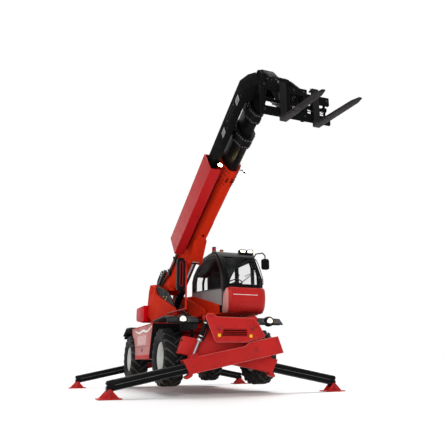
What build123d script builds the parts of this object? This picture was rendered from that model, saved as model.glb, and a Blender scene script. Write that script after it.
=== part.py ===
from build123d import *
import os
from math import cos, hypot, radians, sin

# Rotating telehandler, parked on its four stabilisers with the boom part raised.
# Millimetres. +X is forward, +Y is the machine's left, +Z is up. While it is being drawn, the
# machine's origin is the slew axis on the ground; write() moves it to the middle of the footprint.

# ---- driving dimensions -------------------------------------------------------------------
GAP = 6                   # between pieces that move past each other
RUN = 0.3                 # at pins, rods and wear pads

# wheels and axles
TYRE_R = 585
TYRE_W = 440
RIM_R = 305
RIM_W = 330
WHEEL_BASE = 3126
TRACK = 2040
LIFT = 145                # the stabilisers hold the tyres this far off the ground
KINGPIN_Y = 790
KINGPIN_R = 38
EYE_R = 56                # the axle's ends, round the king pins
AXLE_R = 105
DISC_IN = 10              # inner face of the rim's disc, from the wheel's middle plane

# chassis
FRAME_W = 780
FRAME_BOTTOM = 720
FRAME_TOP = 1130
FRAME_ARCH = 850          # underside of the rails over the axles
SLEW_R = 540
SLEW_Z = 1400             # top of the fixed slewing race
HOOD_Y = (-1200, -560)    # engine hood, outer and inner faces
HOOD_TOP = 1478           # the turret turns above it
HOOD_BOTTOM = 705
TANK_Y = (560, 1200)
FENDER_T = 28
HINGE_R = 6               # door hinges' pins
DOOR_T = 12               # engine hood's door
FENDER_Y = (640, 1250)

# stabilisers
PLANE_OUT = 2600          # plane of the outermost beam, from the slew axis
BEAM_W = 190
MIDDLE_GAP = 30           # between the two beams at one end
BEAM_WALL = 14
BEAM_ANGLE = 11.2         # below level
BEAM_PIVOT = (-460, 840)  # along the machine's width, towards the foot, and up
PIVOT_R = 80
CASE_T = 20               # thickness of the stabiliser casing's plates
LEG_W = 140
LEG_TOP = 45
LEG_BOTTOM = -145
LEG_START = 900
FOOT_PIN = (2930, -159)   # along and across the beam, from its pivot
FOOT_PIN_R = 20
FOOT_L = 420
FOOT_W = 350
CYL_TOP = (514, 1470)     # stabiliser cylinder's upper pin
CYL_EAR = (1287, 142)     # lower pin, along and across the beam
CYL_PIN_R = 24
CYL_R = 48
CYL_ROD_R = 26
CYL_BARREL_L = 500
CYL_ROD_IN = 315          # rod's inner end, from the upper pin

# turret
TURRET_BASE = 1484        # top of the slewing drum, above the hood
DECK_Z = 1625             # underside of all that overhangs the chassis
SLEW_PLATE_T = 20
SIDE_T = 40
DECK_T = 40
BOOM_Y = -420
SIDE_R = 780              # the turret's right plate, distance from the slew axis
SIDE_L = 60               # the left one

# cab
CAB_Y = (80, 1080)
CAB_WALL = 45
GLASS_T = 8
GLASS_IN = 8              # the panes lie this far behind the shell's outside
CAB_CORNER = 230          # plan radius of the cab's left front corner
NOSE_CORNER = 160
DOOR_FRONT = 1330

MIRROR_Y = -930           # clear of the boom's side cover when it comes down
MIRROR_X = 2440           # its mast, ahead of the right plate

# boom, in its own frame: x along it from its pivot, z across it
BOOM_PIVOT = (-1100, 2500)
BOOM_ANGLE = 26.5
BOOM_PIN_R = 55
TUBE_REAR = 1000
TUBE_FRONT = 5059
TUBE_TOP = -128
TUBE_BOTTOM = -700
TUBE_W = 400
TUBE_WALL = 12
TUBE_LOW_CUT = (120, 200)  # the tube's lower corners, across and up
TUBE_HIGH_CUT = 68        # its upper corners
NEST = 36                 # each section is this much smaller than the next, sides and top
NEST_LOW = 20             # and underneath
PAD_L = 110
COLLAR = 26
LIFT_LOW = (-550, 1585)   # lift cylinder's lower pin
LIFT_TOP = (2440, -890)   # upper pin, in the boom's frame
LIFT_EYE_R = 55
LIFT_R = 75
LIFT_ROD_R = 45
LIFT_BARREL_L = 1350
LIFT_ROD_IN = 640         # rod's inner end, from the lower pin

# carriage, in the boom's frame where noted
TILT_PIN = (7180, -928)   # in the boom's frame
TILT_PIN_R = 35
HEAD_X = 6715             # rear face of the boom's head
TILT_BASE = (6790, -690)  # tilt cylinder's barrel pin, in the boom's frame
TILT_LUG = (6000, 4250)   # tilt rod's eye on the carriage, in the machine's frame
CARRIAGE_X = 6140         # back of the carriage
CARRIAGE_W = 1170
CARRIAGE_Z = (4075, 4600)
FORK_Y = (-660, -100)
FORK_L = 1040
FORK_W = 110
FORK_T = 50
FORK_TAPER = 130
FORK_DROP = 4.4           # degrees, tips down
FORK_Z = 3990             # underside of the heels

# ---- worked out ---------------------------------------------------------------------------
HUB_Z = LIFT + TYRE_R
PLANE_IN = PLANE_OUT - BEAM_W - MIDDLE_GAP
AXLE_X = WHEEL_BASE / 2
BOOM_COS = cos(radians(BOOM_ANGLE))
BOOM_SIN = sin(radians(BOOM_ANGLE))
BEAM_COS = cos(radians(BEAM_ANGLE))
BEAM_SIN = sin(radians(BEAM_ANGLE))
FORK_TIP_X = CARRIAGE_X + 85 + FORK_L
REAR_X = -(PLANE_OUT + FOOT_W / 2)
CENTRE_X = (FORK_TIP_X + REAR_X) / 2

HOOD_T = 18
HOOD_HINGE = (HOOD_Y[0], HOOD_TOP - HOOD_T - GAP)
CAB_HINGE = (420, CAB_Y[1] + 2 * HINGE_R + 4)
CAB_Z = DECK_Z + DECK_T

# corner table: name, plane's x, side of its foot (+1 = machine's left), end of the machine
STABILISERS = [
    ("front_right", PLANE_OUT, -1),
    ("front_left", PLANE_IN, +1),
    ("rear_left", -PLANE_OUT, +1),
    ("rear_right", -PLANE_IN, -1),
]
# wheel table: name, end (+1 = front), side (+1 = machine's left)
WHEELS = [
    ("front_right", +1, -1),
    ("front_left", +1, +1),
    ("rear_left", -1, +1),
    ("rear_right", -1, -1),
]


def boom_to_machine(x, z):
    """A point of the boom's own frame, in the machine's frame."""
    return (
        BOOM_PIVOT[0] + x * BOOM_COS - z * BOOM_SIN,
        BOOM_PIVOT[1] + x * BOOM_SIN + z * BOOM_COS,
    )


def beam_to_machine(along, across):
    """A point of a stabiliser beam: across the machine towards its foot, and up."""
    return (
        BEAM_PIVOT[0] + along * BEAM_COS + across * BEAM_SIN,
        BEAM_PIVOT[1] - along * BEAM_SIN + across * BEAM_COS,
    )


# ---- shapes -------------------------------------------------------------------------------
def block(x, y, z):
    """A box between two limits on each axis."""
    centre = Pos((x[0] + x[1]) / 2, (y[0] + y[1]) / 2, (z[0] + z[1]) / 2)
    return centre * Box(abs(x[1] - x[0]), abs(y[1] - y[0]), abs(z[1] - z[0]))


def side_shape(points, y):
    """A side view, as (x, z) points, that runs from one y to another."""
    face = make_face(Polyline([(px, min(y), pz) for px, pz in points], close=True))
    return extrude(face, abs(y[1] - y[0]), dir=(0, 1, 0))


def front_shape(points, x):
    """A front view, as (y, z) points, that runs from one x to another."""
    face = make_face(Polyline([(min(x), py, pz) for py, pz in points], close=True))
    return extrude(face, abs(x[1] - x[0]), dir=(1, 0, 0))


def along_x(y, z, r, x):
    """A cylinder along X."""
    return Pos((x[0] + x[1]) / 2, y, z) * Rot(0, 90, 0) * Cylinder(r, abs(x[1] - x[0]))


def along_y(x, z, r, y):
    """A cylinder along Y."""
    return Pos(x, (y[0] + y[1]) / 2, z) * Rot(90, 0, 0) * Cylinder(r, abs(y[1] - y[0]))


def along_z(x, y, r, z):
    """A cylinder along Z."""
    return Pos(x, y, (z[0] + z[1]) / 2) * Cylinder(r, abs(z[1] - z[0]))


def tube_run(points, r):
    """A round bar along straight runs, with a ball at each bend."""
    bar = None
    for start, end in zip(points, points[1:]):
        run = Vector(*end) - Vector(*start)
        piece = Plane(origin=start, z_dir=run) * Pos(0, 0, run.length / 2) * Cylinder(r, run.length)
        bar = piece if bar is None else bar + piece
    for point in points[1:-1]:
        bar += Pos(*point) * Sphere(r)
    return bar


NODES = {}


def add(name, *shapes):
    """Keep a node. Several shapes share it as separate solids."""
    NODES[name] = [solid for shape in shapes for solid in shape.solids()]


# ---- wheels, knuckles and axles -----------------------------------------------------------
def revolve_about_hub(points):
    """A wheel's section, as (radius, distance from its middle plane) points, turned about Y."""
    face = make_face(Polyline([(r, w, 0) for r, w in points], close=True))
    return revolve(face, Axis.Y)


def wheel(name, end, side):
    half = TYRE_W / 2
    tyre = revolve_about_hub([
        (RIM_R, -RIM_W / 2), (RIM_R + 60, -half * 0.93), (TYRE_R - 140, -half),
        (TYRE_R - 45, -half * 0.95), (TYRE_R, -half * 0.72), (TYRE_R, half * 0.72),
        (TYRE_R - 45, half * 0.95), (TYRE_R - 140, half), (RIM_R + 60, half * 0.93),
        (RIM_R, RIM_W / 2),
    ])
    rim = revolve_about_hub([
        (0, 70), (110, 70), (150, 40), (235, 30), (RIM_R - 40, RIM_W / 2 - 25),
        (RIM_R - 22, RIM_W / 2), (RIM_R, RIM_W / 2), (RIM_R, -RIM_W / 2),
        (RIM_R - 22, -RIM_W / 2), (RIM_R - 40, -RIM_W / 2 + 25), (225, 0), (140, DISC_IN), (0, DISC_IN),
    ])
    # the disc's dish faces outward
    place = Pos(end * AXLE_X, side * TRACK / 2, HUB_Z) * Rot(0, 0, 0 if side > 0 else 180)
    add("tyre_" + name, place * tyre)
    add("rim_" + name, place * rim)


def knuckle(name, end, side):
    """Steering knuckle: a forked arm on the king pin, with the hub that carries the wheel."""
    x = end * AXLE_X
    pin_y = side * KINGPIN_Y
    hub_in = side * (KINGPIN_Y + 62)
    hub_out = side * (TRACK / 2 + DISC_IN - RUN)
    body = along_y(x, HUB_Z, 150, (hub_in, side * (KINGPIN_Y + 100)))
    body += along_y(x, HUB_Z, 105, (side * (KINGPIN_Y + 90), hub_out))
    for sign in (-1, 1):
        z = HUB_Z + sign * 150
        body += block((x - 70, x + 70), (pin_y, hub_in + side * 20), (z - 22, z + 22))
        body += along_z(x, pin_y, 70, (z - 22, z + 22))
        body += along_z(x, pin_y, KINGPIN_R, (z, z - sign * 100))
    # steering arm behind the axle, towards the chassis
    arm_x = x - end * 210
    body += block((x - end * 50, arm_x), (pin_y - 35, pin_y + 35), (HUB_Z - 172, HUB_Z - 138))
    body += along_z(arm_x, pin_y, 40, (HUB_Z - 172, HUB_Z - 138))
    add("knuckle_" + name, body)


def axle_housings():
    """Both steered axles, with the diff, their mounts and the shafts to them."""
    parts = []
    for end in (1, -1):
        x = end * AXLE_X
        axle = along_y(x, HUB_Z, AXLE_R, (-KINGPIN_Y + 95, KINGPIN_Y - 95))
        axle += Pos(x, 0, HUB_Z) * Sphere(190)
        axle += along_x(0, HUB_Z, 90, (x, x - end * 330))
        for side in (-1, 1):
            pin_y = side * KINGPIN_Y
            eye = along_z(x, pin_y, EYE_R, (HUB_Z - 122, HUB_Z + 122))
            eye -= along_z(x, pin_y, KINGPIN_R + RUN, (HUB_Z - 130, HUB_Z + 130))
            neck = block((x - 75, x + 75), (side * (KINGPIN_Y - 170), side * (KINGPIN_Y - 40)),
                         (HUB_Z - 95, HUB_Z + 95))
            neck -= along_z(x, pin_y, KINGPIN_R + RUN, (HUB_Z - 130, HUB_Z + 130))
            axle += eye + neck
            pad = block((x - 130, x + 130), (side * 230, side * 380), (HUB_Z + 40, FRAME_ARCH))
            axle += pad
        parts.append(axle)
    parts.append(along_x(0, HUB_Z, 45, (-AXLE_X + 330, AXLE_X - 330)))
    add("axle_housings", *parts)


# ---- chassis ------------------------------------------------------------------------------
def chassis():
    half = FRAME_W / 2
    rail = 90
    end_x = PLANE_IN - BEAM_W / 2 - CASE_T - GAP
    pads = FRAME_ARCH
    frame = None
    for side in (-1, 1):
        y = (side * (half - rail), side * half)
        piece = side_shape([
            (-end_x, FRAME_TOP), (-end_x, pads), (-AXLE_X + 300, pads),
            (-AXLE_X + 420, FRAME_BOTTOM), (AXLE_X - 420, FRAME_BOTTOM),
            (AXLE_X - 300, pads), (end_x, pads), (end_x, FRAME_TOP),
        ], y)
        frame = piece if frame is None else frame + piece
    inner = (-half + rail - 1, half - rail + 1)
    for x in (-end_x + 40, -AXLE_X + 330, -700, 700, AXLE_X - 330, end_x - 40):
        frame += block((x - 40, x + 40), inner, (pads, FRAME_TOP - 20))
    frame += block((-SLEW_R, SLEW_R), (-half, half), (FRAME_TOP - 60, FRAME_TOP + 40))
    frame += along_z(0, 0, SLEW_R - 60, (FRAME_TOP, SLEW_Z - 90))
    frame += along_z(0, 0, SLEW_R, (SLEW_Z - 90, SLEW_Z))
    add("chassis_frame", frame)

    # engine in the right-hand side bay, gearbox towards the frame
    engine = block((-820, 380), (-1060, -610), (840, 1400))
    add("engine_block", engine)


def hood_outline(d):
    """The engine hood's side view, pulled in by d; its rear edge goes round the steered tyre."""
    return [
        (-1290 + d, HOOD_TOP - d), (870 - d * 1.4, HOOD_TOP - d), (584 - d * 0.7, HOOD_BOTTOM + d),
        (-845 + d, HOOD_BOTTOM + d), (-845 + d, 800), (-890 + d, 990), (-1040 + d, 1190),
        (-1240 + d, 1310),
    ]


def side_bodies():
    """Engine hood on the right, tank and battery box on the left, as folded shells."""
    t = HOOD_T
    hood = side_shape(hood_outline(0), HOOD_Y)
    inside = side_shape(hood_outline(t), (HOOD_Y[0] - 1, HOOD_Y[1] - t))
    hood -= inside
    # the bay's floor carries the engine
    hood += block((-700, 300), (-1050, -620), (HOOD_BOTTOM + t - 1, 840))
    hood += block((-600, -200), (HOOD_Y[1] - 1, -FRAME_W / 2), (900, 1000))
    tank = side_shape([(-950, HOOD_TOP), (820, HOOD_TOP), (584, 640), (-800, 640), (-840, 900)], TANK_Y)
    tank += block((-500, 300), (TANK_Y[0] + 1, FRAME_W / 2), (900, 1000))
    for z in (700, 980):
        tank -= block((-60, 460), (TANK_Y[1] - 150, TANK_Y[1] + 1), (z, z + 220))
    door = side_shape(hood_outline(t + GAP), (HOOD_Y[0], HOOD_Y[0] + DOOR_T))
    # hinges along the door's top edge: pins held by the hood's lugs, eyes on the door
    pin_y, pin_z = HOOD_HINGE
    eye = 2 * HINGE_R
    for x in (-650, 250):
        hood -= block((x - 56, x + 56), (pin_y - 1, pin_y + eye + GAP), (pin_z, HOOD_TOP + 1))
        hood += along_x(pin_y, pin_z, HINGE_R, (x - 66, x + 66))
        for sign in (-1, 1):
            hood += block((x + sign * 56, x + sign * 66), (pin_y - eye, pin_y + 10),
                          (pin_z - 10, HOOD_TOP))
        door -= block((x - 72, x + 72), (pin_y - 1, pin_y + eye + GAP), (pin_z - eye - GAP, pin_z + 1))
        door += along_x(pin_y, pin_z, eye, (x - 50, x + 50))
        door += block((x - 50, x + 50), (pin_y - eye, pin_y), (pin_z - 60, pin_z))
        door -= along_x(pin_y, pin_z, HINGE_R + RUN, (x - 70, x + 70))
    add("side_bodies", hood, tank)
    add("engine_hood_door", door)


def fenders():
    """Black fenders, the front bar and the headlamps."""
    shapes = []
    t = FENDER_T
    for side in (-1, 1):
        y = (side * FENDER_Y[0], side * FENDER_Y[1])
        front = side_shape([
            (1075, 1512), (1995, 1537), (2240, 1505), (2385, 1395), (2385, 1395 - t),
            (2225, 1505 - t - 6), (1990, 1537 - t), (1075, 1512 - t),
        ], y)
        # the lamps' panel is bolted to the stabiliser plate behind it
        plate_x = PLANE_IN - BEAM_W / 2 - GAP - CASE_T
        front += block((plate_x - 50, plate_x), y, (1370, 1500))
        front += block((plate_x - 50, plate_x), (side * 530, y[0] + side), (1380, 1450))
        # round headlamps in bulbous housings
        lamp = Polyline([
            (plate_x - 1, 0), (plate_x - 1, 105), (2335, 105), (2362, 96), (2375, 80), (2375, 72),
            (2350, 70), (2362, 40), (2366, 0),
        ], close=True)
        front += Pos(0, side * 960, 1440) * revolve(make_face(lamp), Axis.X)
        # and its rear end to a post on the frame's rail, behind the lowered boom's knee
        front += block((1080, 1135), (side * (FRAME_W / 2 - 1), side * (FENDER_Y[0] + 60)),
                       (1440, 1490))
        front += block((1080, 1135), (side * (FRAME_W / 2 - 60), side * FRAME_W / 2),
                       (FRAME_TOP, 1490))
        rear = side_shape([
            (-1320, 1520), (-1829, 1533), (-2230, 1359), (-2230, 1359 - t),
            (-1835, 1533 - t - 6), (-1320, 1520 - t),
        ], y)
        rear += block((-1900, -1800), (side * (FRAME_W / 2 - 1), side * (FENDER_Y[0] + 60)),
                      (1420, 1500))
        rear += block((-1900, -1800), (side * (FRAME_W / 2 - 60), side * FRAME_W / 2),
                      (FRAME_TOP, 1500))
        shapes += [front, rear]
    add("fenders", *shapes)


# ---- stabilisers --------------------------------------------------------------------------
def stabiliser_frames():
    """Three plates at each end carry the beams' pivots and the cylinders' upper pins."""
    front = [(-602, 1454), (-428, 1032), (-380, 992), (250, 992), (340, 1022), (640, 1090),
             (655, 1115), (522, 1357), (413, 1462), (-377, 1474), (-440, 1525), (-560, 1530),
             (-605, 1490)]
    middle = [(-700, 740), (700, 740), (620, 1030), (500, 1200), (605, 1490), (560, 1530),
              (440, 1525), (377, 1474), (-377, 1474), (-440, 1525), (-560, 1530), (-605, 1490),
              (-500, 1200), (-620, 1030)]
    # the lowered boom comes down past this one
    back_plate = [(-700, 740), (700, 740), (620, 1030), (500, 1200), (605, 1490), (560, 1530),
                  (440, 1525), (377, 1474), (-480, 1474), (-500, 1200), (-620, 1030)]
    out_front = PLANE_OUT + BEAM_W / 2
    mid = (PLANE_OUT + PLANE_IN) / 2
    half_mid = (PLANE_OUT - PLANE_IN - BEAM_W - 2 * GAP) / 2
    back = PLANE_IN - BEAM_W / 2 - GAP
    # plate table: outline, x limits
    plates = [
        (front, (out_front + GAP, out_front + GAP + CASE_T)),
        (middle, (mid - half_mid, mid + half_mid)),
        (back_plate, (back - CASE_T, back)),
    ]
    case = None
    for outline, x in plates:
        plate = front_shape(outline, x)
        case = plate if case is None else case + plate
    # closed boxes between the plates, clear of the cylinders
    case += block((mid, out_front + GAP + 1), (-330, 480), (1060, 1440))
    case += block((back - 1, mid), (-480, 330), (1060, 1440))
    # beams turn on shallow trunnions in their side walls, so that the legs slide past them
    deep = (BEAM_W - LEG_W) / 2 - GAP
    # trunnion table: side of its beam's foot, x limits
    trunnions = [
        (-1, (mid, PLANE_OUT - BEAM_W / 2 + deep)),
        (+1, (PLANE_IN + BEAM_W / 2 - deep, mid)),
        (+1, (back - CASE_T, PLANE_IN - BEAM_W / 2 + deep)),
    ]
    for side, x in trunnions:
        case += along_x(side * BEAM_PIVOT[0], BEAM_PIVOT[1], PIVOT_R, x)
    case += along_x(-CYL_TOP[0], CYL_TOP[1], CYL_PIN_R, (mid, out_front + GAP + 1))
    case += along_x(CYL_TOP[0], CYL_TOP[1], CYL_PIN_R, (back - 1, mid))
    # grille in the end plate, with bosses beside it
    face = out_front + GAP + CASE_T
    case -= front_shape([(-275, 1108), (280, 1108), (260, 1250), (-240, 1250)],
                        (face - 1.6 * CASE_T, face + 1))
    for z in (1130, 1165, 1200, 1235):
        case += block((face - 1.6 * CASE_T - 1, face - 4), (-285, 285), (z - 5, z + 5))
    # boss table: across, up, radius
    for y, z, r in ((530, 1076, 30), (-514, 1470, 42), (383, 1278, 24), (-338, 1267, 24)):
        case += along_x(y, z, r, (face - 1, face + 12))
    add("stabiliser_frames", case, Rot(0, 0, 180) * case)


def stabiliser(name, plane, side):
    """Beam, leg, foot and cylinder. Drawn in the Y-Z plane for a foot on the machine's left."""
    def flat(points, half, holes=()):
        shape = front_shape([beam_to_machine(*p) for p in points], (-half, half))
        for along, across, r in holes:
            y, z = beam_to_machine(along, across)
            shape -= along_x(y, z, r, (-half - 1, half + 1))
        return shape

    half = BEAM_W / 2
    outer = flat([
        (-547, 171), (120, 171), (200, 118), (1190, 118), (1220, 185), (1340, 185), (1380, 118),
        (1521, 118), (1438, -165), (1520, -190), (1500, -242), (1400, -215), (1370, -165),
        (-596, -165),
    ], half, [(0, 0, PIVOT_R + RUN)])
    # the trunnions' bores go through the side walls only; the leg runs between them
    inside = LEG_W / 2 + GAP
    outer -= flat([
        (-560, 118 - BEAM_WALL), (1600, 118 - BEAM_WALL), (1600, -165 + BEAM_WALL),
        (-560, -165 + BEAM_WALL),
    ], inside)
    # the ear is forked around the rod's eye
    slot = flat([(1180, 95), (1400, 95), (1400, 200), (1180, 200)], 32)
    outer -= slot
    # wear pads at the mouth and at the leg's inner end
    for a, b, top in ((1250, 1400, 84), (920, 1060, 84)):
        outer += flat([(a, top), (b, top), (b, LEG_TOP + RUN), (a, LEG_TOP + RUN)], 60)
        outer += flat([(a, -152), (b, -152), (b, LEG_BOTTOM - RUN), (a, LEG_BOTTOM - RUN)], 60)

    leg = flat([
        (LEG_START, LEG_TOP), (2938, LEG_TOP), (2965, 0), (2880, LEG_BOTTOM),
        (LEG_START, LEG_BOTTOM),
    ], LEG_W / 2)
    leg -= flat([
        (LEG_START - 1, LEG_TOP - 10), (2800, LEG_TOP - 10), (2800, LEG_BOTTOM + 10),
        (LEG_START - 1, LEG_BOTTOM + 10),
    ], LEG_W / 2 - 10)
    lug = flat([
        (2820, -60), (2960, -40), (2985, FOOT_PIN[1]), (2960, FOOT_PIN[1] - 40),
        (2900, FOOT_PIN[1] - 40), (2875, FOOT_PIN[1]), (2850, LEG_BOTTOM + 5),
    ], LEG_W / 2, [(*FOOT_PIN, FOOT_PIN_R + RUN)])
    leg += lug
    pin_y, pin_z = beam_to_machine(*FOOT_PIN)
    foot = block((-FOOT_W / 2, FOOT_W / 2), (pin_y - FOOT_L / 2, pin_y + FOOT_L / 2), (0, 22))
    cheek = [(pin_y - 170, 21), (pin_y + 170, 21), (pin_y + 45, 150), (pin_y + 20, 172),
             (pin_y - 20, 172), (pin_y - 45, 150)]
    near = LEG_W / 2 + GAP
    for sign in (-1, 1):
        foot += front_shape(cheek, (sign * near, sign * (near + 18)))
        foot += side_shape([(sign * (near + 17), 21), (sign * 165, 21), (sign * (near + 17), 110)],
                           (pin_y - 8, pin_y + 8))
        foot += along_x(pin_y, pin_z, 2 * FOOT_PIN_R, (sign * (near + 1), sign * (near + 24)))
    foot += along_x(pin_y, pin_z, FOOT_PIN_R, (-near - 30, near + 30))

    # cylinder, from its upper pin down to the beam's ear
    top_y, top_z = CYL_TOP
    ear_y, ear_z = beam_to_machine(*CYL_EAR)
    run = Vector(0, ear_y - top_y, ear_z - top_z)
    down = Plane(origin=(0, top_y, top_z), x_dir=(1, 0, 0), z_dir=run)
    reach = run.length

    def cyl(r, a, b):
        return down * Pos(0, 0, (a + b) / 2) * Cylinder(r, b - a)

    barrel = cyl(CYL_R, 30, CYL_BARREL_L)
    barrel += along_x(top_y, top_z, 48, (-40, 40))
    barrel -= along_x(top_y, top_z, CYL_PIN_R + RUN, (-50, 50))
    barrel -= cyl(CYL_R - 9, 90, CYL_BARREL_L - 40)
    barrel -= cyl(CYL_ROD_R + RUN, CYL_BARREL_L - 60, CYL_BARREL_L + 1)
    rod = cyl(CYL_ROD_R, CYL_ROD_IN, reach - 20)
    rod += along_x(ear_y, ear_z, 34, (-24, 24))
    rod -= along_x(ear_y, ear_z, 16, (-50, 50))

    # the outermost beams' outward walls are closed, with a flat boss
    if abs(plane) == PLANE_OUT:
        out = plane / PLANE_OUT
        outer += along_x(*BEAM_PIVOT, PIVOT_R + 1, (out * inside, out * half))
        outer += along_x(*BEAM_PIVOT, PIVOT_R + 15, (out * (half - 1), out * (half + 4)))

    place = Pos(plane, 0, 0)
    mirror_side = side < 0

    def put(shape):
        if mirror_side:
            shape = mirror(shape, about=Plane.XZ)
        return place * shape

    add("stabiliser_beam_" + name, put(outer))
    add("stabiliser_leg_" + name, put(leg))
    add("stabiliser_foot_" + name, put(foot))
    add("stabiliser_barrel_" + name, put(barrel))
    add("stabiliser_rod_" + name, put(rod))


# ---- turret -------------------------------------------------------------------------------
def turret():
    base = along_z(0, 0, SLEW_R - 10, (SLEW_Z + RUN, SLEW_Z + 20))
    base += along_z(0, 0, SLEW_R - 40, (SLEW_Z + 19, TURRET_BASE + 1))
    base += block((-700, 300), (-560, 330), (TURRET_BASE, TURRET_BASE + SLEW_PLATE_T))
    right = [
        (-1230, 2560), (-1120, 2615), (-1000, 2600), (-750, 2510), (-560, 2300), (1100, 1800),
        (1180, 1750), (1180, 1640), (900, DECK_Z), (-850, DECK_Z), (-1320, 1800), (-1450, 2120),
        (-1330, 2500),
    ]
    # plate table: y limits; the boom swings between the two
    for y in ((-SIDE_R, -SIDE_R + SIDE_T), (-SIDE_L - SIDE_T, -SIDE_L)):
        plate = side_shape(right, y)
        plate -= along_y(*BOOM_PIVOT, BOOM_PIN_R + RUN, (y[0] - 1, y[1] + 1))
        base += plate
    # cheeks down to the slewing plate, with the lift cylinder's lower pin between them
    well = LIFT_R + GAP
    cheek_z = TURRET_BASE + SLEW_PLATE_T - 1
    for side in (-1, 1):
        y = (BOOM_Y + side * well, BOOM_Y + side * (well + 40))
        cheek = side_shape([(-750, 1600), (-700, cheek_z), (300, cheek_z), (300, DECK_Z + 15),
                            (-750, DECK_Z + 15)], y)
        base += cheek
    base += along_y(*LIFT_LOW, 40, (BOOM_Y - well - 1, BOOM_Y + well + 1))
    base += block((-300, 300), (-SIDE_L - SIDE_T, 330), (cheek_z, DECK_Z + 10))
    # deck under the boom and the cab, kept open where the boom and its cylinder come down
    base += block((-1150, -800), (-SIDE_R, 900), (DECK_Z, CAB_Z))
    base += block((-801, 500), (-SIDE_R, BOOM_Y - well), (DECK_Z, CAB_Z))
    base += block((-801, 500), (BOOM_Y + well, 1000), (DECK_Z, CAB_Z))
    base += block((499, 1700), (-205, 1000), (DECK_Z, CAB_Z))
    # skirt along the cab's foot
    base += side_shape([(-600, DECK_Z), (-600, 2260), (-20, 2220), (1700, 1834), (1720, 1640),
                        (1700, DECK_Z)], (20, 74))
    # the right mirror's mast, clear of everything below when the turret slews
    base += tube_run([(1130, -SIDE_R + 1, DECK_Z + 40), (1130, MIRROR_Y, DECK_Z + 40),
                      (MIRROR_X, MIRROR_Y, DECK_Z + 15), (MIRROR_X, MIRROR_Y, 2594),
                      (MIRROR_X - 60, MIRROR_Y, 2640), (MIRROR_X - 150, MIRROR_Y, 2640)], 18)
    add("turret_frame", base)

    weight = side_shape([
        (-1455, DECK_Z + 30), (-2180, 1750), (-2250, 1820), (-2250, 2050), (-2200, 2100),
        (-1455, 2100),
    ], (-900, 900))
    weight += side_shape([(-1456, DECK_Z + 30), (-1151, DECK_Z), (-1151, 2100), (-1456, 2100)],
                         (-SIDE_L + 1, 900))
    weight += block((-1456, -1330), (-900, -SIDE_R), (DECK_Z + 60, 2100))
    add("counterweight", weight)


CAB_OUTLINE = [
    (-190, CAB_Z), (-235, 2270), (-235, 2600), (-130, 2750), (100, 2880), (620, 3075),
    (1100, 3095), (1480, 3068), (1620, 2960), (1790, 2756), (1990, 2400), (2000, 2190),
    (1800, CAB_Z),
]
SIDE_WINDOW = [(20, 2320), (30, 2560), (120, 2720), (360, 2870), (760, 2965), (1320, 2985),
               (1500, 2890), (1720, 2590), (1790, 2400), (1800, 2190)]
WINDSCREEN = [(1640, 2936), (1790, 2756), (1990, 2400), (1997, 2250)]
REAR_WINDOW = [(-235, 2350), (-235, 2600), (-145, 2728)]
# small panes of the left side, behind and ahead of the door
QUARTERS = [
    [(-150, 2590), (-60, 2730), (120, 2840), (330, 2915), (330, 2590)],
    [(1400, 2330), (1400, 2700), (1510, 2700), (1600, 2520), (1610, 2330)],
]


def band(points, way, a, b):
    """A strip that follows points, from a to b along one way across it."""
    near = [(x + way[0] * a, z + way[1] * a) for x, z in points]
    far = [(x + way[0] * b, z + way[1] * b) for x, z in points]
    return near + far[::-1]


def cab_body(d):
    """The cab as a solid, all its faces d further in, with its left front corner rounded."""
    outline = make_face(Polyline([(x, 0, z) for x, z in CAB_OUTLINE], close=True))
    if d:
        outline = offset(outline, -d, kind=Kind.INTERSECTION)
    body = Pos(0, CAB_Y[0] + d, 0) * extrude(outline, CAB_Y[1] - CAB_Y[0] - 2 * d, dir=(0, 1, 0))
    r = CAB_CORNER - d
    knee = WINDSCREEN[2]
    corner = Pos(r, r) * Rectangle(2 * r, 2 * r) - Circle(r)
    corner = Pos(knee[0] + 8 - CAB_CORNER, CAB_Y[1] - CAB_CORNER, knee[1]) * corner
    # down the nose, and up along the windscreen
    body -= extrude(corner, knee[1] - CAB_Z + d + 50, dir=(0, 0, -1))
    lean = Vector(WINDSCREEN[0][0] - knee[0], 0, WINDSCREEN[0][1] - knee[1])
    body -= extrude(corner, 1100, dir=lean.normalized())
    return body


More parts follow.
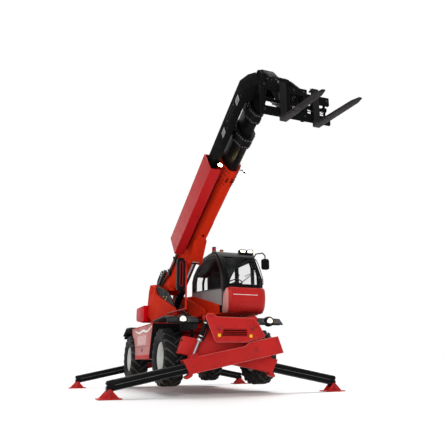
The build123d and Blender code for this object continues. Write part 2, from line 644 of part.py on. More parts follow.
def cab():
    w = CAB_WALL
    shell = cab_body(0) - cab_body(w)
    # right window, windscreen, rear window, left side's small panes and the door's opening
    left = (CAB_Y[1] - w - 1, CAB_Y[1] + 1)
    panes = [
        side_shape(SIDE_WINDOW, (CAB_Y[0] - 1, CAB_Y[0] + w + 1)),
        side_shape(band(WINDSCREEN, (0.85, 0.53), -110, 60), (CAB_Y[0] + 90, CAB_Y[1] - 70)),
        side_shape(band(REAR_WINDOW, (-0.96, 0.28), -80, 60), (CAB_Y[0] + 70, CAB_Y[0] + 270)),
        side_shape(band(REAR_WINDOW, (-0.96, 0.28), -80, 60), (CAB_Y[0] + 320, CAB_Y[1] - 90)),
    ]
    panes += [side_shape(points, left) for points in QUARTERS]
    glazing = cab_body(GLASS_IN) - cab_body(GLASS_IN + GLASS_T)
    for pane in panes:
        shell -= pane
    door_cut = side_shape(door_outline(0), left)
    shell -= door_cut
    # hinges at the door's rear edge: each pin stands in the shell's eye and carries the door's
    door = side_shape(door_outline(GAP), (CAB_Y[1] - 38, CAB_Y[1]))
    door -= side_shape(door_outline(GAP + 62), (CAB_Y[1] - 50, CAB_Y[1] + 10))
    pin_x, pin_y = CAB_HINGE
    eye = 2 * HINGE_R
    for z in (1950, 2700):
        shell += block((pin_x - 30, pin_x), (CAB_Y[1] - 1, pin_y + eye), (z - 60, z - GAP / 2))
        shell += along_z(pin_x, pin_y, eye, (z - 60, z - GAP / 2))
        shell += along_z(pin_x, pin_y, HINGE_R, (z - 30, z + 60))
        door += block((pin_x, pin_x + 50), (pin_y - HINGE_R, pin_y + HINGE_R), (z + GAP / 2, z + 60))
        door += block((pin_x + 25, pin_x + 50), (CAB_Y[1] - 1, pin_y), (z + GAP / 2, z + 60))
        door += along_z(pin_x, pin_y, eye - 2, (z + GAP / 2, z + 60))
        door -= along_z(pin_x, pin_y, HINGE_R + RUN, (z - 40, z + 62))
    add("cab_shell", shell)

    # nose panel below the windscreen
    nose = side_shape([
        (1800, CAB_Z), (1806, DECK_Z + 10), (1960, DECK_Z + 30), (2050, 1760), (2075, 2000),
        (2060, 2150), (2010, 2195), (2000, 2190),
    ], (CAB_Y[0], CAB_Y[1]))
    rounded = block((1500, 2080), CAB_Y, (DECK_Z - 1, 2300))
    nose &= fillet(rounded.edges().filter_by(Axis.Z).group_by(Axis.X)[-1], NOSE_CORNER)
    add("cab_nose", nose)

    add("cab_glass", *[glazing & pane for pane in panes])

    floor = CAB_Z + w
    seat = block((330, 830), (330, 830), (floor, floor + 260))
    seat += block((330, 850), (330, 830), (floor + 259, floor + 380))
    seat += side_shape([(230, floor + 300), (360, floor + 300), (300, floor + 950),
                        (190, floor + 930)], (340, 820))
    column = side_shape([(1500, floor), (1620, floor), (1415, floor + 650), (1345, floor + 630)],
                        (540, 620))
    dash = side_shape([(1560, floor), (1740, floor), (1800, 2140), (1600, 2190)], (200, 960))
    column += dash
    wheel_rim = Torus(178, 13) + Cylinder(45, 40) + Box(350, 34, 14) + Box(34, 350, 14)
    column += Pos(1370, 580, floor + 640) * Rot(0, -30, 0) * wheel_rim
    add("cab_interior", seat, column)

    add("cab_door", door)
    pane_y = CAB_Y[1] - 24
    add("cab_door_glass", side_shape(door_outline(GAP + 62), (pane_y, pane_y + GLASS_T)))

    # mirrors, the tall right one and a small one on the roof's left corner; roof lamps; beacons
    head = block((MIRROR_X - 240, MIRROR_X - 150), (MIRROR_Y - 140, MIRROR_Y + 30), (2020, 2690))
    head = fillet(head.edges().filter_by(Axis.X), 60)
    arm = tube_run([(1440, CAB_Y[1] - 10, 3010), (1450, 1110, 3085), (1600, 1215, 3085),
                    (1670, 1240, 3010), (1670, 1240, 2920)], 14)
    small = block((1640, 1700), (1150, 1330), (2680, 2930))
    arm += fillet(small.edges().filter_by(Axis.X), 50)
    fittings = [head, arm]
    for y in (CAB_Y[1] - 330, CAB_Y[1] - 150):
        lamp = block((1390, 1520), (y - 78, y + 78), (3040, 3160))
        lamp = fillet(lamp.edges().filter_by(Axis.X), 30)
        fittings.append(lamp - block((1505, 1521), (y - 62, y + 62), (3088, 3145)))
    # beacon table: along, across, top
    for x, y, z in ((1000, CAB_Y[0] + 140, 3280), (880, CAB_Y[0] + 380, 3255)):
        fittings.append(along_z(x, y, 58, (3000, z - 120)) + along_z(x, y, 48, (z - 120, z)))
    # ribs along the roof
    for y in range(CAB_Y[0] + 220, CAB_Y[1] - 200, 95):
        fittings.append(side_shape([(600, 3076), (1100, 3091), (1380, 3069), (1380, 3074),
                                    (1100, 3106), (600, 3091)], (y - 14, y + 14)))
    add("cab_fittings", *[piece - cab_body(0) for piece in fittings])


def door_outline(d):
    """The left side's door, pulled in by d."""
    return [
        (420 + d, DECK_Z + 110 + d), (420 + d, 2985 - d), (DOOR_FRONT - 90 - d, 2985 - d),
        (DOOR_FRONT - d, 2850 - d), (DOOR_FRONT + 20 - d, 2300), (DOOR_FRONT - d, DECK_Z + 110 + d),
    ]


# ---- boom ---------------------------------------------------------------------------------
def boom_place(shape):
    return Pos(BOOM_PIVOT[0], BOOM_Y, BOOM_PIVOT[1]) * Rot(0, -BOOM_ANGLE, 0) * shape


def boom_profile(level, grow, x):
    """A section's cross-section, grown by some all round. The outer tube is level 0."""
    half = TUBE_W / 2 - level * NEST + grow
    top = TUBE_TOP - level * NEST + grow
    bottom = TUBE_BOTTOM + level * NEST_LOW - grow
    across, up = TUBE_LOW_CUT
    slope = hypot(across, up)
    # the corners keep parallel to the faces they are grown from
    low_y = across - level * NEST / 2 + grow * (1 - (slope - across) / up)
    low_z = up - level * NEST / 2 + grow * (1 - (slope - up) / across)
    high = TUBE_HIGH_CUT - level * NEST / 3 + grow * 0.586
    return front_shape([
        (-half + low_y, bottom), (half - low_y, bottom), (half, bottom + low_z), (half, top - high),
        (half - high, top), (-half + high, top), (-half, top - high), (-half, bottom + low_z),
    ], x)


def section(level, x):
    """One hollow section with a bolted collar at its front end."""
    body = boom_profile(level, 0, x)
    body += boom_profile(level, COLLAR, (x[1] - 220, x[1]))
    body -= boom_profile(level, -TUBE_WALL, (x[0] - 1, x[1] + 1))
    return body + wear_pads(level, x[1])


def wear_pads(level, front):
    """They close the gap to the next section at a section's front end."""
    pads = boom_profile(level, -2, (front - PAD_L, front))
    return pads - boom_profile(level + 1, RUN, (front - PAD_L - 1, front + 1))


def boom():
    outer = boom_profile(0, 0, (TUBE_REAR, TUBE_FRONT))
    # bolted shield round the front end, and a doubler ahead of the knee
    outer += boom_profile(0, 8, (TUBE_FRONT - 390, TUBE_FRONT))
    outer += boom_profile(0, 6, (2900, 3370))
    arm = side_shape([
        (-110, -60), (-120, 40), (-60, 120), (60, 130), (1010, TUBE_TOP), (1010, TUBE_BOTTOM),
        (980, -640), (700, -610), (250, -330),
    ], (-TUBE_W / 2, TUBE_W / 2))
    outer += arm
    outer += along_y(0, 0, 130, (-SIDE_R + SIDE_T + GAP - BOOM_Y, -SIDE_L - SIDE_T - GAP - BOOM_Y))
    outer += along_y(0, 0, BOOM_PIN_R, (-SIDE_R - 15 - BOOM_Y, -SIDE_L + 15 - BOOM_Y))
    # knee: two cheeks with the lift cylinder's eye between them, closed underneath
    root = TUBE_BOTTOM + 60
    x, z = LIFT_TOP
    for sign in (-1, 1):
        outer += side_shape([
            (x - 150, root), (x - 80, z - 10), (x - 40, z - 52), (x + 50, z - 58),
            (2960, TUBE_BOTTOM - 4), (2960, root),
        ], (sign * 90, sign * 140))
        outer += along_y(x, z, LIFT_EYE_R, (sign * 90, sign * 152))
    under = side_shape([(x + 75, z - 52), (2960, TUBE_BOTTOM - 4), (2960, root), (x + 90, z - 40)],
                       (-91, 91))
    outer += under - along_z(2720, -40, 24, (z - 100, z + 10))
    outer -= boom_profile(0, -TUBE_WALL, (TUBE_REAR, TUBE_FRONT + 1))
    outer += wear_pads(0, TUBE_FRONT)
    add("boom_outer", boom_place(outer))

    # red guard over the hoses on the right side
    cover_y = (-460, -TUBE_W / 2 - 46)
    cover = side_shape([(2440, -700), (2318, -150), (4945, -150), (5060, -700)], cover_y)
    cover -= side_shape([(2300, -686), (2200, -164), (5100, -164), (5100, -686)],
                        (cover_y[0] + 14, cover_y[1] - 14))
    for x in (2500, 3720, 4560):
        cover += block((x, x + 80), (cover_y[1] - 1, -TUBE_W / 2), (-420, -360))
    add("boom_side_cover", boom_place(cover))

    # section table: name, level, rear end, front end
    sections = [
        ("boom_section_2", 1, 1320, 5869),
        ("boom_section_3", 2, 1640, 6419),
    ]
    for name, level, rear, front in sections:
        add(name, boom_place(section(level, (rear, front))))

    last = boom_profile(3, 0, (1960, HEAD_X + 1))
    last -= boom_profile(3, -TUBE_WALL, (1950, HEAD_X - 40))
    head = side_shape([
        (HEAD_X, -640), (HEAD_X, -225), (6760, -195), (6975, -195), (7030, -255), (7085, -474),
        (7140, -640), (7250, -800), (7290, -900), (7275, -960), (7200, -1020), (7110, -1000),
        (7040, -860), (6960, -640),
    ], (-110, 110))
    last += head
    last += along_y(*TILT_PIN, 95, (-110, 110))
    last -= along_y(*TILT_PIN, TILT_PIN_R + RUN, (-120, 120))
    # slot under the head for the tilt cylinder
    last -= side_shape([(HEAD_X - 1, -1100), (HEAD_X - 1, -630), (6740, -600), (6900, -560),
                        (7060, -640), (7060, -1100)], (-60, 60))
    for sign in (-1, 1):
        last += side_shape([(6740, -641), (6740, -700), (6770, -740), (6820, -740), (6960, -641)],
                           (sign * 60, sign * 100))
    last += along_y(*TILT_BASE, 25, (-100, 100))
    add("boom_section_4", boom_place(last))

    # hose tray on the right, carried on the second section's collar
    tray_y = (-380, -265)
    tray = side_shape([(2700, -520), (2700, -190), (6920, -190), (6920, -520)], (tray_y[0], -165))
    # seen from above it is straight, and ends in a bevel that reaches in beside the head
    plan = make_face(Polyline([(2700, tray_y[0]), (6700, tray_y[0]), (6850, -280), (6920, -165),
                               (6560, -165), (6480, tray_y[1]), (2700, tray_y[1])], close=True))
    tray &= Pos(0, 0, -600) * extrude(plan, 500, dir=(0, 0, 1))
    tray -= side_shape([(2690, -508), (2690, -202), (6690, -202), (6690, -508)],
                       (tray_y[0] + 10, tray_y[1] + 1))
    tray -= block((5950, 6300), (tray_y[0] - 1, tray_y[0] + 11), (-400, -330))
    tray += block((5700, 5840), (tray_y[0] + 9, -TUBE_W / 2 + NEST - COLLAR), (-400, -300))
    add("hose_tray", boom_place(tray))


def lift_cylinder():
    low = LIFT_LOW
    top = boom_to_machine(*LIFT_TOP)
    run = Vector(top[0] - low[0], 0, top[1] - low[1])
    up = Plane(origin=(low[0], BOOM_Y, low[1]), x_dir=(0, 1, 0), z_dir=run)
    reach = run.length

    def cyl(r, a, b):
        return up * Pos(0, 0, (a + b) / 2) * Cylinder(r, b - a)

    barrel = cyl(LIFT_R, 60, LIFT_BARREL_L)
    barrel += along_y(*low, LIFT_R, (BOOM_Y - LIFT_R + 1, BOOM_Y + LIFT_R - 1))
    barrel -= along_y(*low, 40 + RUN, (BOOM_Y - 90, BOOM_Y + 90))
    barrel -= cyl(LIFT_R - 14, 150, LIFT_BARREL_L - 70)
    barrel -= cyl(LIFT_ROD_R + RUN, LIFT_BARREL_L - 90, LIFT_BARREL_L + 1)
    add("lift_barrel", barrel)
    rod = cyl(LIFT_ROD_R, LIFT_ROD_IN, reach - 30)
    rod += along_y(*top, LIFT_EYE_R, (BOOM_Y - 80, BOOM_Y + 80))
    rod -= along_y(*top, 30, (BOOM_Y - 90, BOOM_Y + 90))
    add("lift_rod", rod)


# ---- carriage and forks -------------------------------------------------------------------
def carriage():
    pin = boom_to_machine(*TILT_PIN)
    y0 = BOOM_Y - CARRIAGE_W / 2
    y1 = BOOM_Y + CARRIAGE_W / 2
    x = (CARRIAGE_X, CARRIAGE_X + 40)
    z0, z1 = CARRIAGE_Z
    step_y = BOOM_Y + 200
    frame = block(x, (y0, step_y), (z1 - 120, z1))
    frame += block(x, (step_y - 60, y1), (z1 - 200, z1 - 70))
    frame += block(x, (y0, y1), (z0, z0 + 130))
    for y in (y0, FORK_Y[0] + FORK_W / 2 + 5, BOOM_Y - 155, step_y - 70):
        frame += block(x, (y, y + 60), (z0, z1))
    for sign in (-1, 1):
        plate_y = (BOOM_Y + sign * 118, BOOM_Y + sign * 155)
        plate = side_shape([
            (pin[0] - 90, pin[1] + 20), (pin[0] - 30, pin[1] + 90), (pin[0] + 60, pin[1] + 80),
            (CARRIAGE_X + 1, z1), (CARRIAGE_X + 1, z0), (CARRIAGE_X - 60, z0 + 20),
            (pin[0] - 70, pin[1] - 60),
        ], plate_y)
        frame += plate
        frame += side_shape([
            (CARRIAGE_X + 1, z0 + 60), (TILT_LUG[0] - 20, TILT_LUG[1] - 60),
            (TILT_LUG[0] - 50, TILT_LUG[1]), (TILT_LUG[0], TILT_LUG[1] + 60),
            (CARRIAGE_X + 1, z0 + 420),
        ], (BOOM_Y + sign * 40, BOOM_Y + sign * 60))
    frame += along_y(*pin, TILT_PIN_R, (BOOM_Y - 170, BOOM_Y + 170))
    frame += block((CARRIAGE_X - 30, CARRIAGE_X + 1), (BOOM_Y - 119, BOOM_Y + 119), (z0 + 20, z0 + 110))
    add("fork_carriage", frame)

    forks = []
    heel_x = CARRIAGE_X + 40
    for y in FORK_Y:
        fork = block((heel_x, heel_x + 45), (y - FORK_W / 2, y + FORK_W / 2),
                     (FORK_Z + 5, z1 + 15))
        blade = side_shape([
            (heel_x, FORK_Z), (heel_x, FORK_Z + FORK_T), (heel_x + 45 + FORK_L, FORK_Z + 16),
            (heel_x + 45 + FORK_L, FORK_Z),
        ], (y - FORK_W / 2, y + FORK_W / 2))
        # the tips taper in plan
        tip_x = heel_x + 45 + FORK_L
        for sign in (-1, 1):
            corner = Polyline([
                (tip_x - FORK_TAPER, y + sign * (FORK_W / 2 + 1)),
                (tip_x + 1, y + sign * (FORK_W / 2 + 1)),
                (tip_x + 1, y + sign * FORK_W / 5),
            ], close=True)
            blade -= Pos(0, 0, FORK_Z - 1) * extrude(make_face(corner), FORK_T + 2)
        blade = Pos(heel_x, 0, FORK_Z) * Rot(0, FORK_DROP, 0) * Pos(-heel_x, 0, -FORK_Z) * blade
        fork += blade
        fork += block((CARRIAGE_X - 20, heel_x + 1), (y - FORK_W / 2, y + FORK_W / 2), (z1, z1 + 15))
        forks.append(fork)
    add("forks", *forks)


def tilt_cylinder():
    base = boom_to_machine(*TILT_BASE)
    run = Vector(TILT_LUG[0] - base[0], 0, TILT_LUG[1] - base[1])
    along = Plane(origin=(base[0], BOOM_Y, base[1]), x_dir=(0, 1, 0), z_dir=run)
    reach = run.length

    def cyl(r, a, b):
        return along * Pos(0, 0, (a + b) / 2) * Cylinder(r, b - a)

    barrel = cyl(45, 35, 560)
    barrel += along_y(*base, 45, (BOOM_Y - 35, BOOM_Y + 35))
    barrel -= along_y(*base, 25 + RUN, (BOOM_Y - 50, BOOM_Y + 50))
    barrel -= cyl(36, 80, 520)
    barrel -= cyl(24 + RUN, 500, 561)
    add("tilt_barrel", barrel)
    rod = cyl(24, 300, reach - 20)
    rod += along_y(*TILT_LUG, 36, (BOOM_Y - 32, BOOM_Y + 32))
    rod -= along_y(*TILT_LUG, 18, (BOOM_Y - 50, BOOM_Y + 50))
    add("tilt_rod", rod)


# ---- build --------------------------------------------------------------------------------
def write():
    os.makedirs("parts", exist_ok=True)
    for name, solids in NODES.items():
        moved = [Pos(-CENTRE_X, 0, 0) * solid for solid in solids]
        shape = moved[0] if len(moved) == 1 else Compound(moved)
        export_step(shape, os.path.join("parts", name + ".step"))


chassis()
axle_housings()
side_bodies()
fenders()
stabiliser_frames()
for row in WHEELS:
    wheel(*row)
    knuckle(*row)
for row in STABILISERS:
    stabiliser(*row)
turret()
cab()
boom()
lift_cylinder()
carriage()
tilt_cylinder()
write()
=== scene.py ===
from math import cos, pi, radians, sin

import bmesh
import bpy
from mathutils import Matrix, Vector


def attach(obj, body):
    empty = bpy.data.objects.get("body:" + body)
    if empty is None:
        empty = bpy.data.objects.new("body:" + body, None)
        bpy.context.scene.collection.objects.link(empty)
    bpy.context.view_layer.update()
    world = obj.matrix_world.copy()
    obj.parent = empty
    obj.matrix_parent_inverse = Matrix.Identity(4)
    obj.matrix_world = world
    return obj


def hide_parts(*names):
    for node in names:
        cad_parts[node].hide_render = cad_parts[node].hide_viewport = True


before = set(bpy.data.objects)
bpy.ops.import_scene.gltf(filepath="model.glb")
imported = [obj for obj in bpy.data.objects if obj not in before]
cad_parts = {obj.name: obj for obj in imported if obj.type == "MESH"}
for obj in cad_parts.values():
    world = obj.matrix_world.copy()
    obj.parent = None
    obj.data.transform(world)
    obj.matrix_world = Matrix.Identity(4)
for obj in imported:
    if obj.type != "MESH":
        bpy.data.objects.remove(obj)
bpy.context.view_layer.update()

# The machine's own frame, in metres: its origin is the slew axis on the ground.
SLEW_X = -2.245
MACHINE = Matrix.Translation((SLEW_X, 0, 0))
# The boom's frame: x along it from its pivot, y across from its middle, z up across it.
BOOM_PIVOT = (-1.1, -0.42, 2.5)
BOOM_ANGLE = radians(26.5)
BOOM = MACHINE @ Matrix.Translation(BOOM_PIVOT) @ Matrix.Rotation(-BOOM_ANGLE, 4, "Y")

# directions
RIGHT, LEFT = Vector((0, -1, 0)), Vector((0, 1, 0))
DOWN, UP = Vector((0, 0, -1)), Vector((0, 0, 1))
AHEAD = Vector((1, 0, 0))


# ---- meshes ----
def around(count, first=0.0):
    """Angles evenly round a circle, the first one turned by a part of a step."""
    return [2 * pi * (k + first) / count for k in range(count)]


def placed(name, data):
    """A new object in the scene."""
    thing = bpy.data.objects.new(name, data)
    bpy.context.scene.collection.objects.link(thing)
    return thing


def soften(piece, width, degrees):
    """Small rounds along a piece's sharp edges."""
    edge = piece.modifiers.new("edges", "BEVEL")
    edge.width = width
    edge.segments = 2
    edge.limit_method = "ANGLE"
    edge.angle_limit = radians(degrees)
    return edge


class Form:
    """Collects simple forms into one mesh, drawn in the machine's frame."""

    place = MACHINE

    def __init__(self):
        self.verts = []
        self.faces = []

    def add(self, verts, faces):
        start = len(self.verts)
        self.verts += [Vector(v) for v in verts]
        self.faces += [[start + i for i in f] for f in faces]
        return self

    def box(self, x, y, z):
        v = [(a, b, c) for a in x for b in y for c in z]
        f = [(0, 1, 3, 2), (4, 6, 7, 5), (0, 4, 5, 1), (2, 3, 7, 6), (0, 2, 6, 4), (1, 5, 7, 3)]
        return self.add(v, f)

    def prism(self, points, axis, span):
        """A flat outline drawn out along an axis."""
        point = {"x": lambda p, t: (t, p[0], p[1]), "y": lambda p, t: (p[0], t, p[1]), "z": lambda p,
            t: (p[0], p[1], t), }[axis]
        n = len(points)
        v = [point(p, t) for t in span for p in points]
        f = [tuple(range(n)), tuple(range(2 * n - 1, n - 1, -1))]
        f += [(i, (i + 1) % n, n + (i + 1) % n, n + i) for i in range(n)]
        return self.add(v, f)

    def sweep(self, path, r, sides=12, closed=False):
        """A round bar of radius r along a path."""
        pts = [Vector(p) for p in path]
        n = len(pts)
        v, f = [], []
        ref = None
        for i, p in enumerate(pts):
            a = pts[(i - 1) % n] if closed else pts[max(i - 1, 0)]
            b = pts[(i + 1) % n] if closed else pts[min(i + 1, n - 1)]
            t = (b - a).normalized()
            if ref is None:
                ref = t.orthogonal().normalized()
            ref = (ref - t * ref.dot(t)).normalized()
            side = t.cross(ref)
            v += [p + (ref * cos(w) + side * sin(w)) * r for w in around(sides)]
        for i in range(n if closed else n - 1):
            j = (i + 1) % n
            for k in range(sides):
                m = (k + 1) % sides
                f.append((i * sides + k, i * sides + m, j * sides + m, j * sides + k))
        if not closed:
            f += [tuple(range(sides)), tuple(range((n - 1) * sides, n * sides))]
        return self.add(v, f)

    def rod(self, a, b, r, sides=16):
        return self.sweep([a, b], r, sides)

    def lathe(self, profile, at, axis, sides=32, ring=False):
        """(radius, distance along axis) points turned about the axis through at."""
        if ring:
            profile = list(profile) + [profile[0]]
        axis = Vector(axis).normalized()
        u = axis.orthogonal().normalized()
        w = axis.cross(u)
        at = Vector(at)
        v, f = [], []
        n = len(profile)
        for a in around(sides):
            way = u * cos(a) + w * sin(a)
            v += [at + axis * h + way * max(r, 1e-5) for r, h in profile]
        for k in range(sides):
            m = (k + 1) % sides
            f += [(k * n + i, k * n + i + 1, m * n + i + 1, m * n + i) for i in range(n - 1)]
        for i in (0, n - 1):
            if profile[i][0] > 1e-4 and not ring:
                f.append(tuple(k * n + i for k in range(sides)))
        return self.add(v, f)

    def band(self, at, axis, radii, heights, sides=32):
        """A ring of rectangular section."""
        (r0, r1), (h0, h1) = radii, heights
        return self.lathe([(r0, h0), (r1, h0), (r1, h1), (r0, h1)], at, axis, sides, ring=True)

    def bolt(self, at, axis, r=0.012):
        """A hexagon head with its washer."""
        axis = Vector(axis).normalized()
        self.lathe([(r * 1.5, -0.002), (r * 1.5, r * 0.25), (r, r * 0.25)], at, axis, 16)
        return self.lathe([(r, 0), (r, r * 0.9), (r * 0.85, r * 1.05), (0, r * 1.05)], at, axis, 6)

    def bolts(self, points, axis, r):
        for p in points:
            self.bolt(p, axis, r)
        return self

    def boss(self, at, axis, radii, heights, sides=24):
        """A round boss: radius at its foot and its top, height of its foot, edge and top."""
        (r, top_r), (foot, edge, top) = radii, heights
        return self.lathe([(r, foot), (r, edge), (top_r, top), (0, top)], at, axis, sides)

    def done(self, name, body, mat, bevel=0.0, sharp=35):
        """The finished piece, riding on its body."""
        mesh = bpy.data.meshes.new(name)
        mesh.from_pydata([self.place @ v for v in self.verts], [], self.faces)
        bm = bmesh.new()
        bm.from_mesh(mesh)
        bmesh.ops.remove_doubles(bm, verts=bm.verts, dist=1e-5)
        bmesh.ops.recalc_face_normals(bm, faces=bm.faces)
        bm.to_mesh(mesh)
        bm.free()
        mesh.shade_smooth()
        mesh.set_sharp_from_angle(angle=radians(sharp))
        mesh.materials.append(mat)
        piece = placed(name, mesh)
        if bevel:
            soften(piece, bevel, 32).harden_normals = True
        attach(piece, body)
        return piece


class OnBoom(Form):
    """The same, drawn in the boom's frame."""

    place = BOOM


def rounded(points, r, n=4):
    """An outline with its corners rounded off."""
    out = []
    count = len(points)
    for i, p in enumerate(points):
        p = Vector(p)
        a = Vector(points[i - 1]) - p
        b = Vector(points[(i + 1) % count]) - p
        d = min(r, a.length * 0.45, b.length * 0.45)
        a, b = p + a.normalized() * d, p + b.normalized() * d
        for k in range(n + 1):
            t = k / n
            out.append(tuple(a * (1 - t) ** 2 + p * 2 * t * (1 - t) + b * t ** 2))
    return out


def panel(u0, u1, v0, v1, r, n=4):
    """A rectangle's outline with rounded corners."""
    return rounded([(u0, v0), (u1, v0), (u1, v1), (u0, v1)], r, n)


def curve(points, n=6):
    """Points along a smooth line through the given ones."""
    pts = [Vector(p) for p in points]
    out = []
    for i in range(len(pts) - 1):
        p0, p1, p2 = pts[max(i - 1, 0)], pts[i], pts[i + 1]
        p3 = pts[min(i + 2, len(pts) - 1)]
        for k in range(n):
            t = k / n
            out.append(0.5 * ((2 * p1) + (p2 - p0) * t + (2 * p0 - 5 * p1 + 4 * p2 - p3) * t * t + (
                3 * p1 - p0 - 3 * p2 + p3) * t ** 3))
    out.append(pts[-1])
    return out


# ---- materials ----
def put(node, values):
    """Sets numbers and colours on a node's sockets."""
    for key, value in values.items():
        node.inputs[key].default_value = value
    return node


def math_node(nt, operation):
    """A node that does one operation on two numbers."""
    node = nt.nodes.new("ShaderNodeMath")
    node.operation = operation
    return node


def material(name, colour, rough=0.4, vary=0.08, gloss=0.35, metal=0.0, coat=0.0, grain=(60, 0.05),
        dust=0.0, dust_colour=(0.32, 0.27, 0.21), low=0.5, ground=0.0):
    """Paint, plastic, rubber or metal: blotches of tone, a fine grain, and dust or wear low down."""
    mat = bpy.data.materials.new(name)
    mat.use_nodes = True
    nt = mat.node_tree
    new, link = nt.nodes.new, nt.links.new
    shader = put(nt.nodes["Principled BSDF"], {"Metallic": metal, "Coat Weight": coat,
        "Coat Roughness": 0.08, "Specular IOR Level": gloss})
    place = new("ShaderNodeTexCoord").outputs["Object"]

    def noise(scale, detail=3.0):
        n = put(new("ShaderNodeTexNoise"), {"Scale": scale, "Detail": detail})
        link(place, n.inputs["Vector"])
        return n.outputs["Fac"]

    def spread(value, a, b, lo, hi):
        m = put(new("ShaderNodeMapRange"), {"From Min": a, "From Max": b, "To Min": lo, "To Max": hi})
        link(value, m.inputs["Value"])
        return m.outputs["Result"]

    def mix(fac, one, two):
        m = new("ShaderNodeMix")
        m.data_type = "RGBA"
        link(fac, m.inputs[0])
        for socket, c in ((m.inputs[6], one), (m.inputs[7], two)):
            if isinstance(c, tuple):
                socket.default_value = (*c, 1)
            else:
                link(c, socket)
        return m.outputs[2]

    dark, light = (tuple(min(1, c * part) for c in colour) for part in (1 - vary, 1 + vary))
    tone = mix(spread(noise(1.7), 0.3, 0.7, 0, 1), dark, light)
    if dust:
        split = new("ShaderNodeSeparateXYZ")
        link(place, split.inputs[0])
        speck = math_node(nt, "MULTIPLY")
        link(spread(split.outputs["Z"], ground, low, dust, 0), speck.inputs[0])
        link(spread(noise(14, 6), 0.35, 0.65, 0.2, 1), speck.inputs[1])
        tone = mix(speck.outputs[0], tone, dust_colour)
    link(tone, shader.inputs["Base Color"])
    link(spread(noise(9, 4), 0.3, 0.7, rough * 0.85, rough * 1.2), shader.inputs["Roughness"])
    bump = put(new("ShaderNodeBump"), {"Strength": grain[1], "Distance": 0.002})
    link(noise(grain[0], 2), bump.inputs["Height"])
    link(bump.outputs["Normal"], shader.inputs["Normal"])
    return mat


def glow(name, colour, strength):
    """A lit lamp's lens."""
    mat = material(name, (1, 1, 1), rough=0.15, coat=0.5)
    put(mat.node_tree.nodes["Principled BSDF"],
        {"Emission Color": (*colour, 1), "Emission Strength": strength})
    return mat


def pane(name, tint, cover):
    """Clear glass: a thin tint that covers only part of what lies behind it."""
    mat = material(name, tint, rough=0.03, vary=0.02, grain=(5, 0.01), gloss=0.5)
    put(mat.node_tree.nodes["Principled BSDF"], {"Alpha": cover})
    return mat


# name, colour, roughness, how much it varies, gloss
RED = material("red_paint", (0.48, 0.018, 0.016), 0.36, 0.1, 0.1, coat=0.04)
PIN_RED = material("pin_red_paint", (0.34, 0.009, 0.01), 0.3, 0.08, 0.2, coat=0.1)
# lighter red for beads of painted highlight along rounded edges
HIGHLIGHT_RED = material("edge_red_paint", (0.62, 0.1, 0.085), 0.3, coat=0.1)
BRIGHT_RED = material("bright_red_paint", (0.5, 0.002, 0.008), 0.3, 0.04, 0.02)
ORANGE_RED = material("orange_red_paint", (0.54, 0.024, 0.007), 0.5, 0.08, 0.01)
COVER_RED = material("cover_red_paint", (0.44, 0.01, 0.012), 0.34, 0.06, 0.08)
DEEP_RED = material("deep_red_paint", (0.24, 0.005, 0.006), 0.4, 0.08, 0.06)
# pale, hazy red for the engine hood's door: painted light on its sunlit side
SUNLIT_RED = material("sunlit_red_paint", (0.46, 0.13, 0.115), 0.42, 0.06, 0.2, coat=0.05)
# pale red: plain print for the hood's label field, a painted highlight on the nose's corner
PALE_PRINT_AND_HIGHLIGHT = material("pale_red_paint", (0.58, 0.24, 0.22), 0.3, 0.05, coat=0.15)
WHITE = material("white_paint", (0.8, 0.79, 0.77), 0.4, 0.03)
YELLOW = material("yellow_reflector", (0.85, 0.62, 0.01), 0.25, 0.05, coat=0.3, grain=(400, 0.4))
BLACK = material("black_paint", (0.0045, 0.0045, 0.005), 0.36, 0.25, 0.05)
SATIN = material("satin_black", (0.0065, 0.0065, 0.007), 0.7, 0.25, 0.01)
PLASTIC = material("black_plastic", (0.008, 0.0075, 0.008), 0.5, 0.2, 0.1, grain=(240, 0.25))
HOSE = material("hose_rubber", (0.006, 0.006, 0.006), 0.5, 0.2, 0.08, grain=(200, 0.2))
# near-black for painted shade inside openings and gaps
PAINTED_SHADE = material("dark_opening", (0.0015, 0.0015, 0.0015), 0.9, 0.3, 0.0)
GREY = material("fork_steel", (0.0065, 0.0065, 0.007), 0.45, 0.2, 0.06, dust=1.0, dust_colour=(0.034,
    0.029, 0.03), ground=4.03, low=4.1)
# grey for painted highlights along the stabiliser legs' ridges
EDGE = material("worn_edge", (0.13, 0.135, 0.14), 0.35, 0.3)
PANEL = material("grey_panel", (0.31, 0.308, 0.31), 0.38, 0.06, 0.15)
BROWN = material("window_frame", (0.03, 0.022, 0.022), 0.4, 0.1, 0.25)
LABEL = material("grey_label", (0.22, 0.23, 0.22), 0.4, 0.1)
FABRIC = material("seat_fabric", (0.016, 0.017, 0.02), 0.85, 0.15, 0.1, grain=(420, 0.8))
RUBBER = material("tyre_rubber", (0.0075, 0.0075, 0.0075), 0.7, 0.25, 0.15, grain=(120, 0.4), dust=0.22)
# lighter rubber on the tread bars' tops: a painted highlight
LUG_HIGHLIGHT_RUBBER = material("worn_rubber", (0.03, 0.029, 0.028), 0.6, 0.25, grain=(120, 0.4))
RIM = material("rim_paint", (0.5, 0.5, 0.48), 0.4, 0.06, coat=0.1, dust=0.2, low=0.6)
STEEL = material("bright_steel", (0.32, 0.32, 0.33), 0.32, metal=1.0)
CHROME = material("chrome_rod", (0.2, 0.2, 0.21), 0.16, 0.1, metal=1.0, grain=(30, 0.02))
IRON = material("dark_iron", (0.03, 0.028, 0.027), 0.5, 0.2, metal=0.6)
BRASS = material("brass_fittings", (0.5, 0.33, 0.08), 0.3, 0.1, metal=1.0)
LIT = glow("lit_lens", (1.0, 0.88, 0.66), 3.0)
BOWL = glow("lit_bowl", (1.0, 0.7, 0.36), 0.55)
LAMP = glow("lit_work_lamp", (1.0, 0.74, 0.36), 35.0)
NUT = material("oiled_bolts", (0.1, 0.1, 0.105), 0.35, 0.2, metal=1.0)
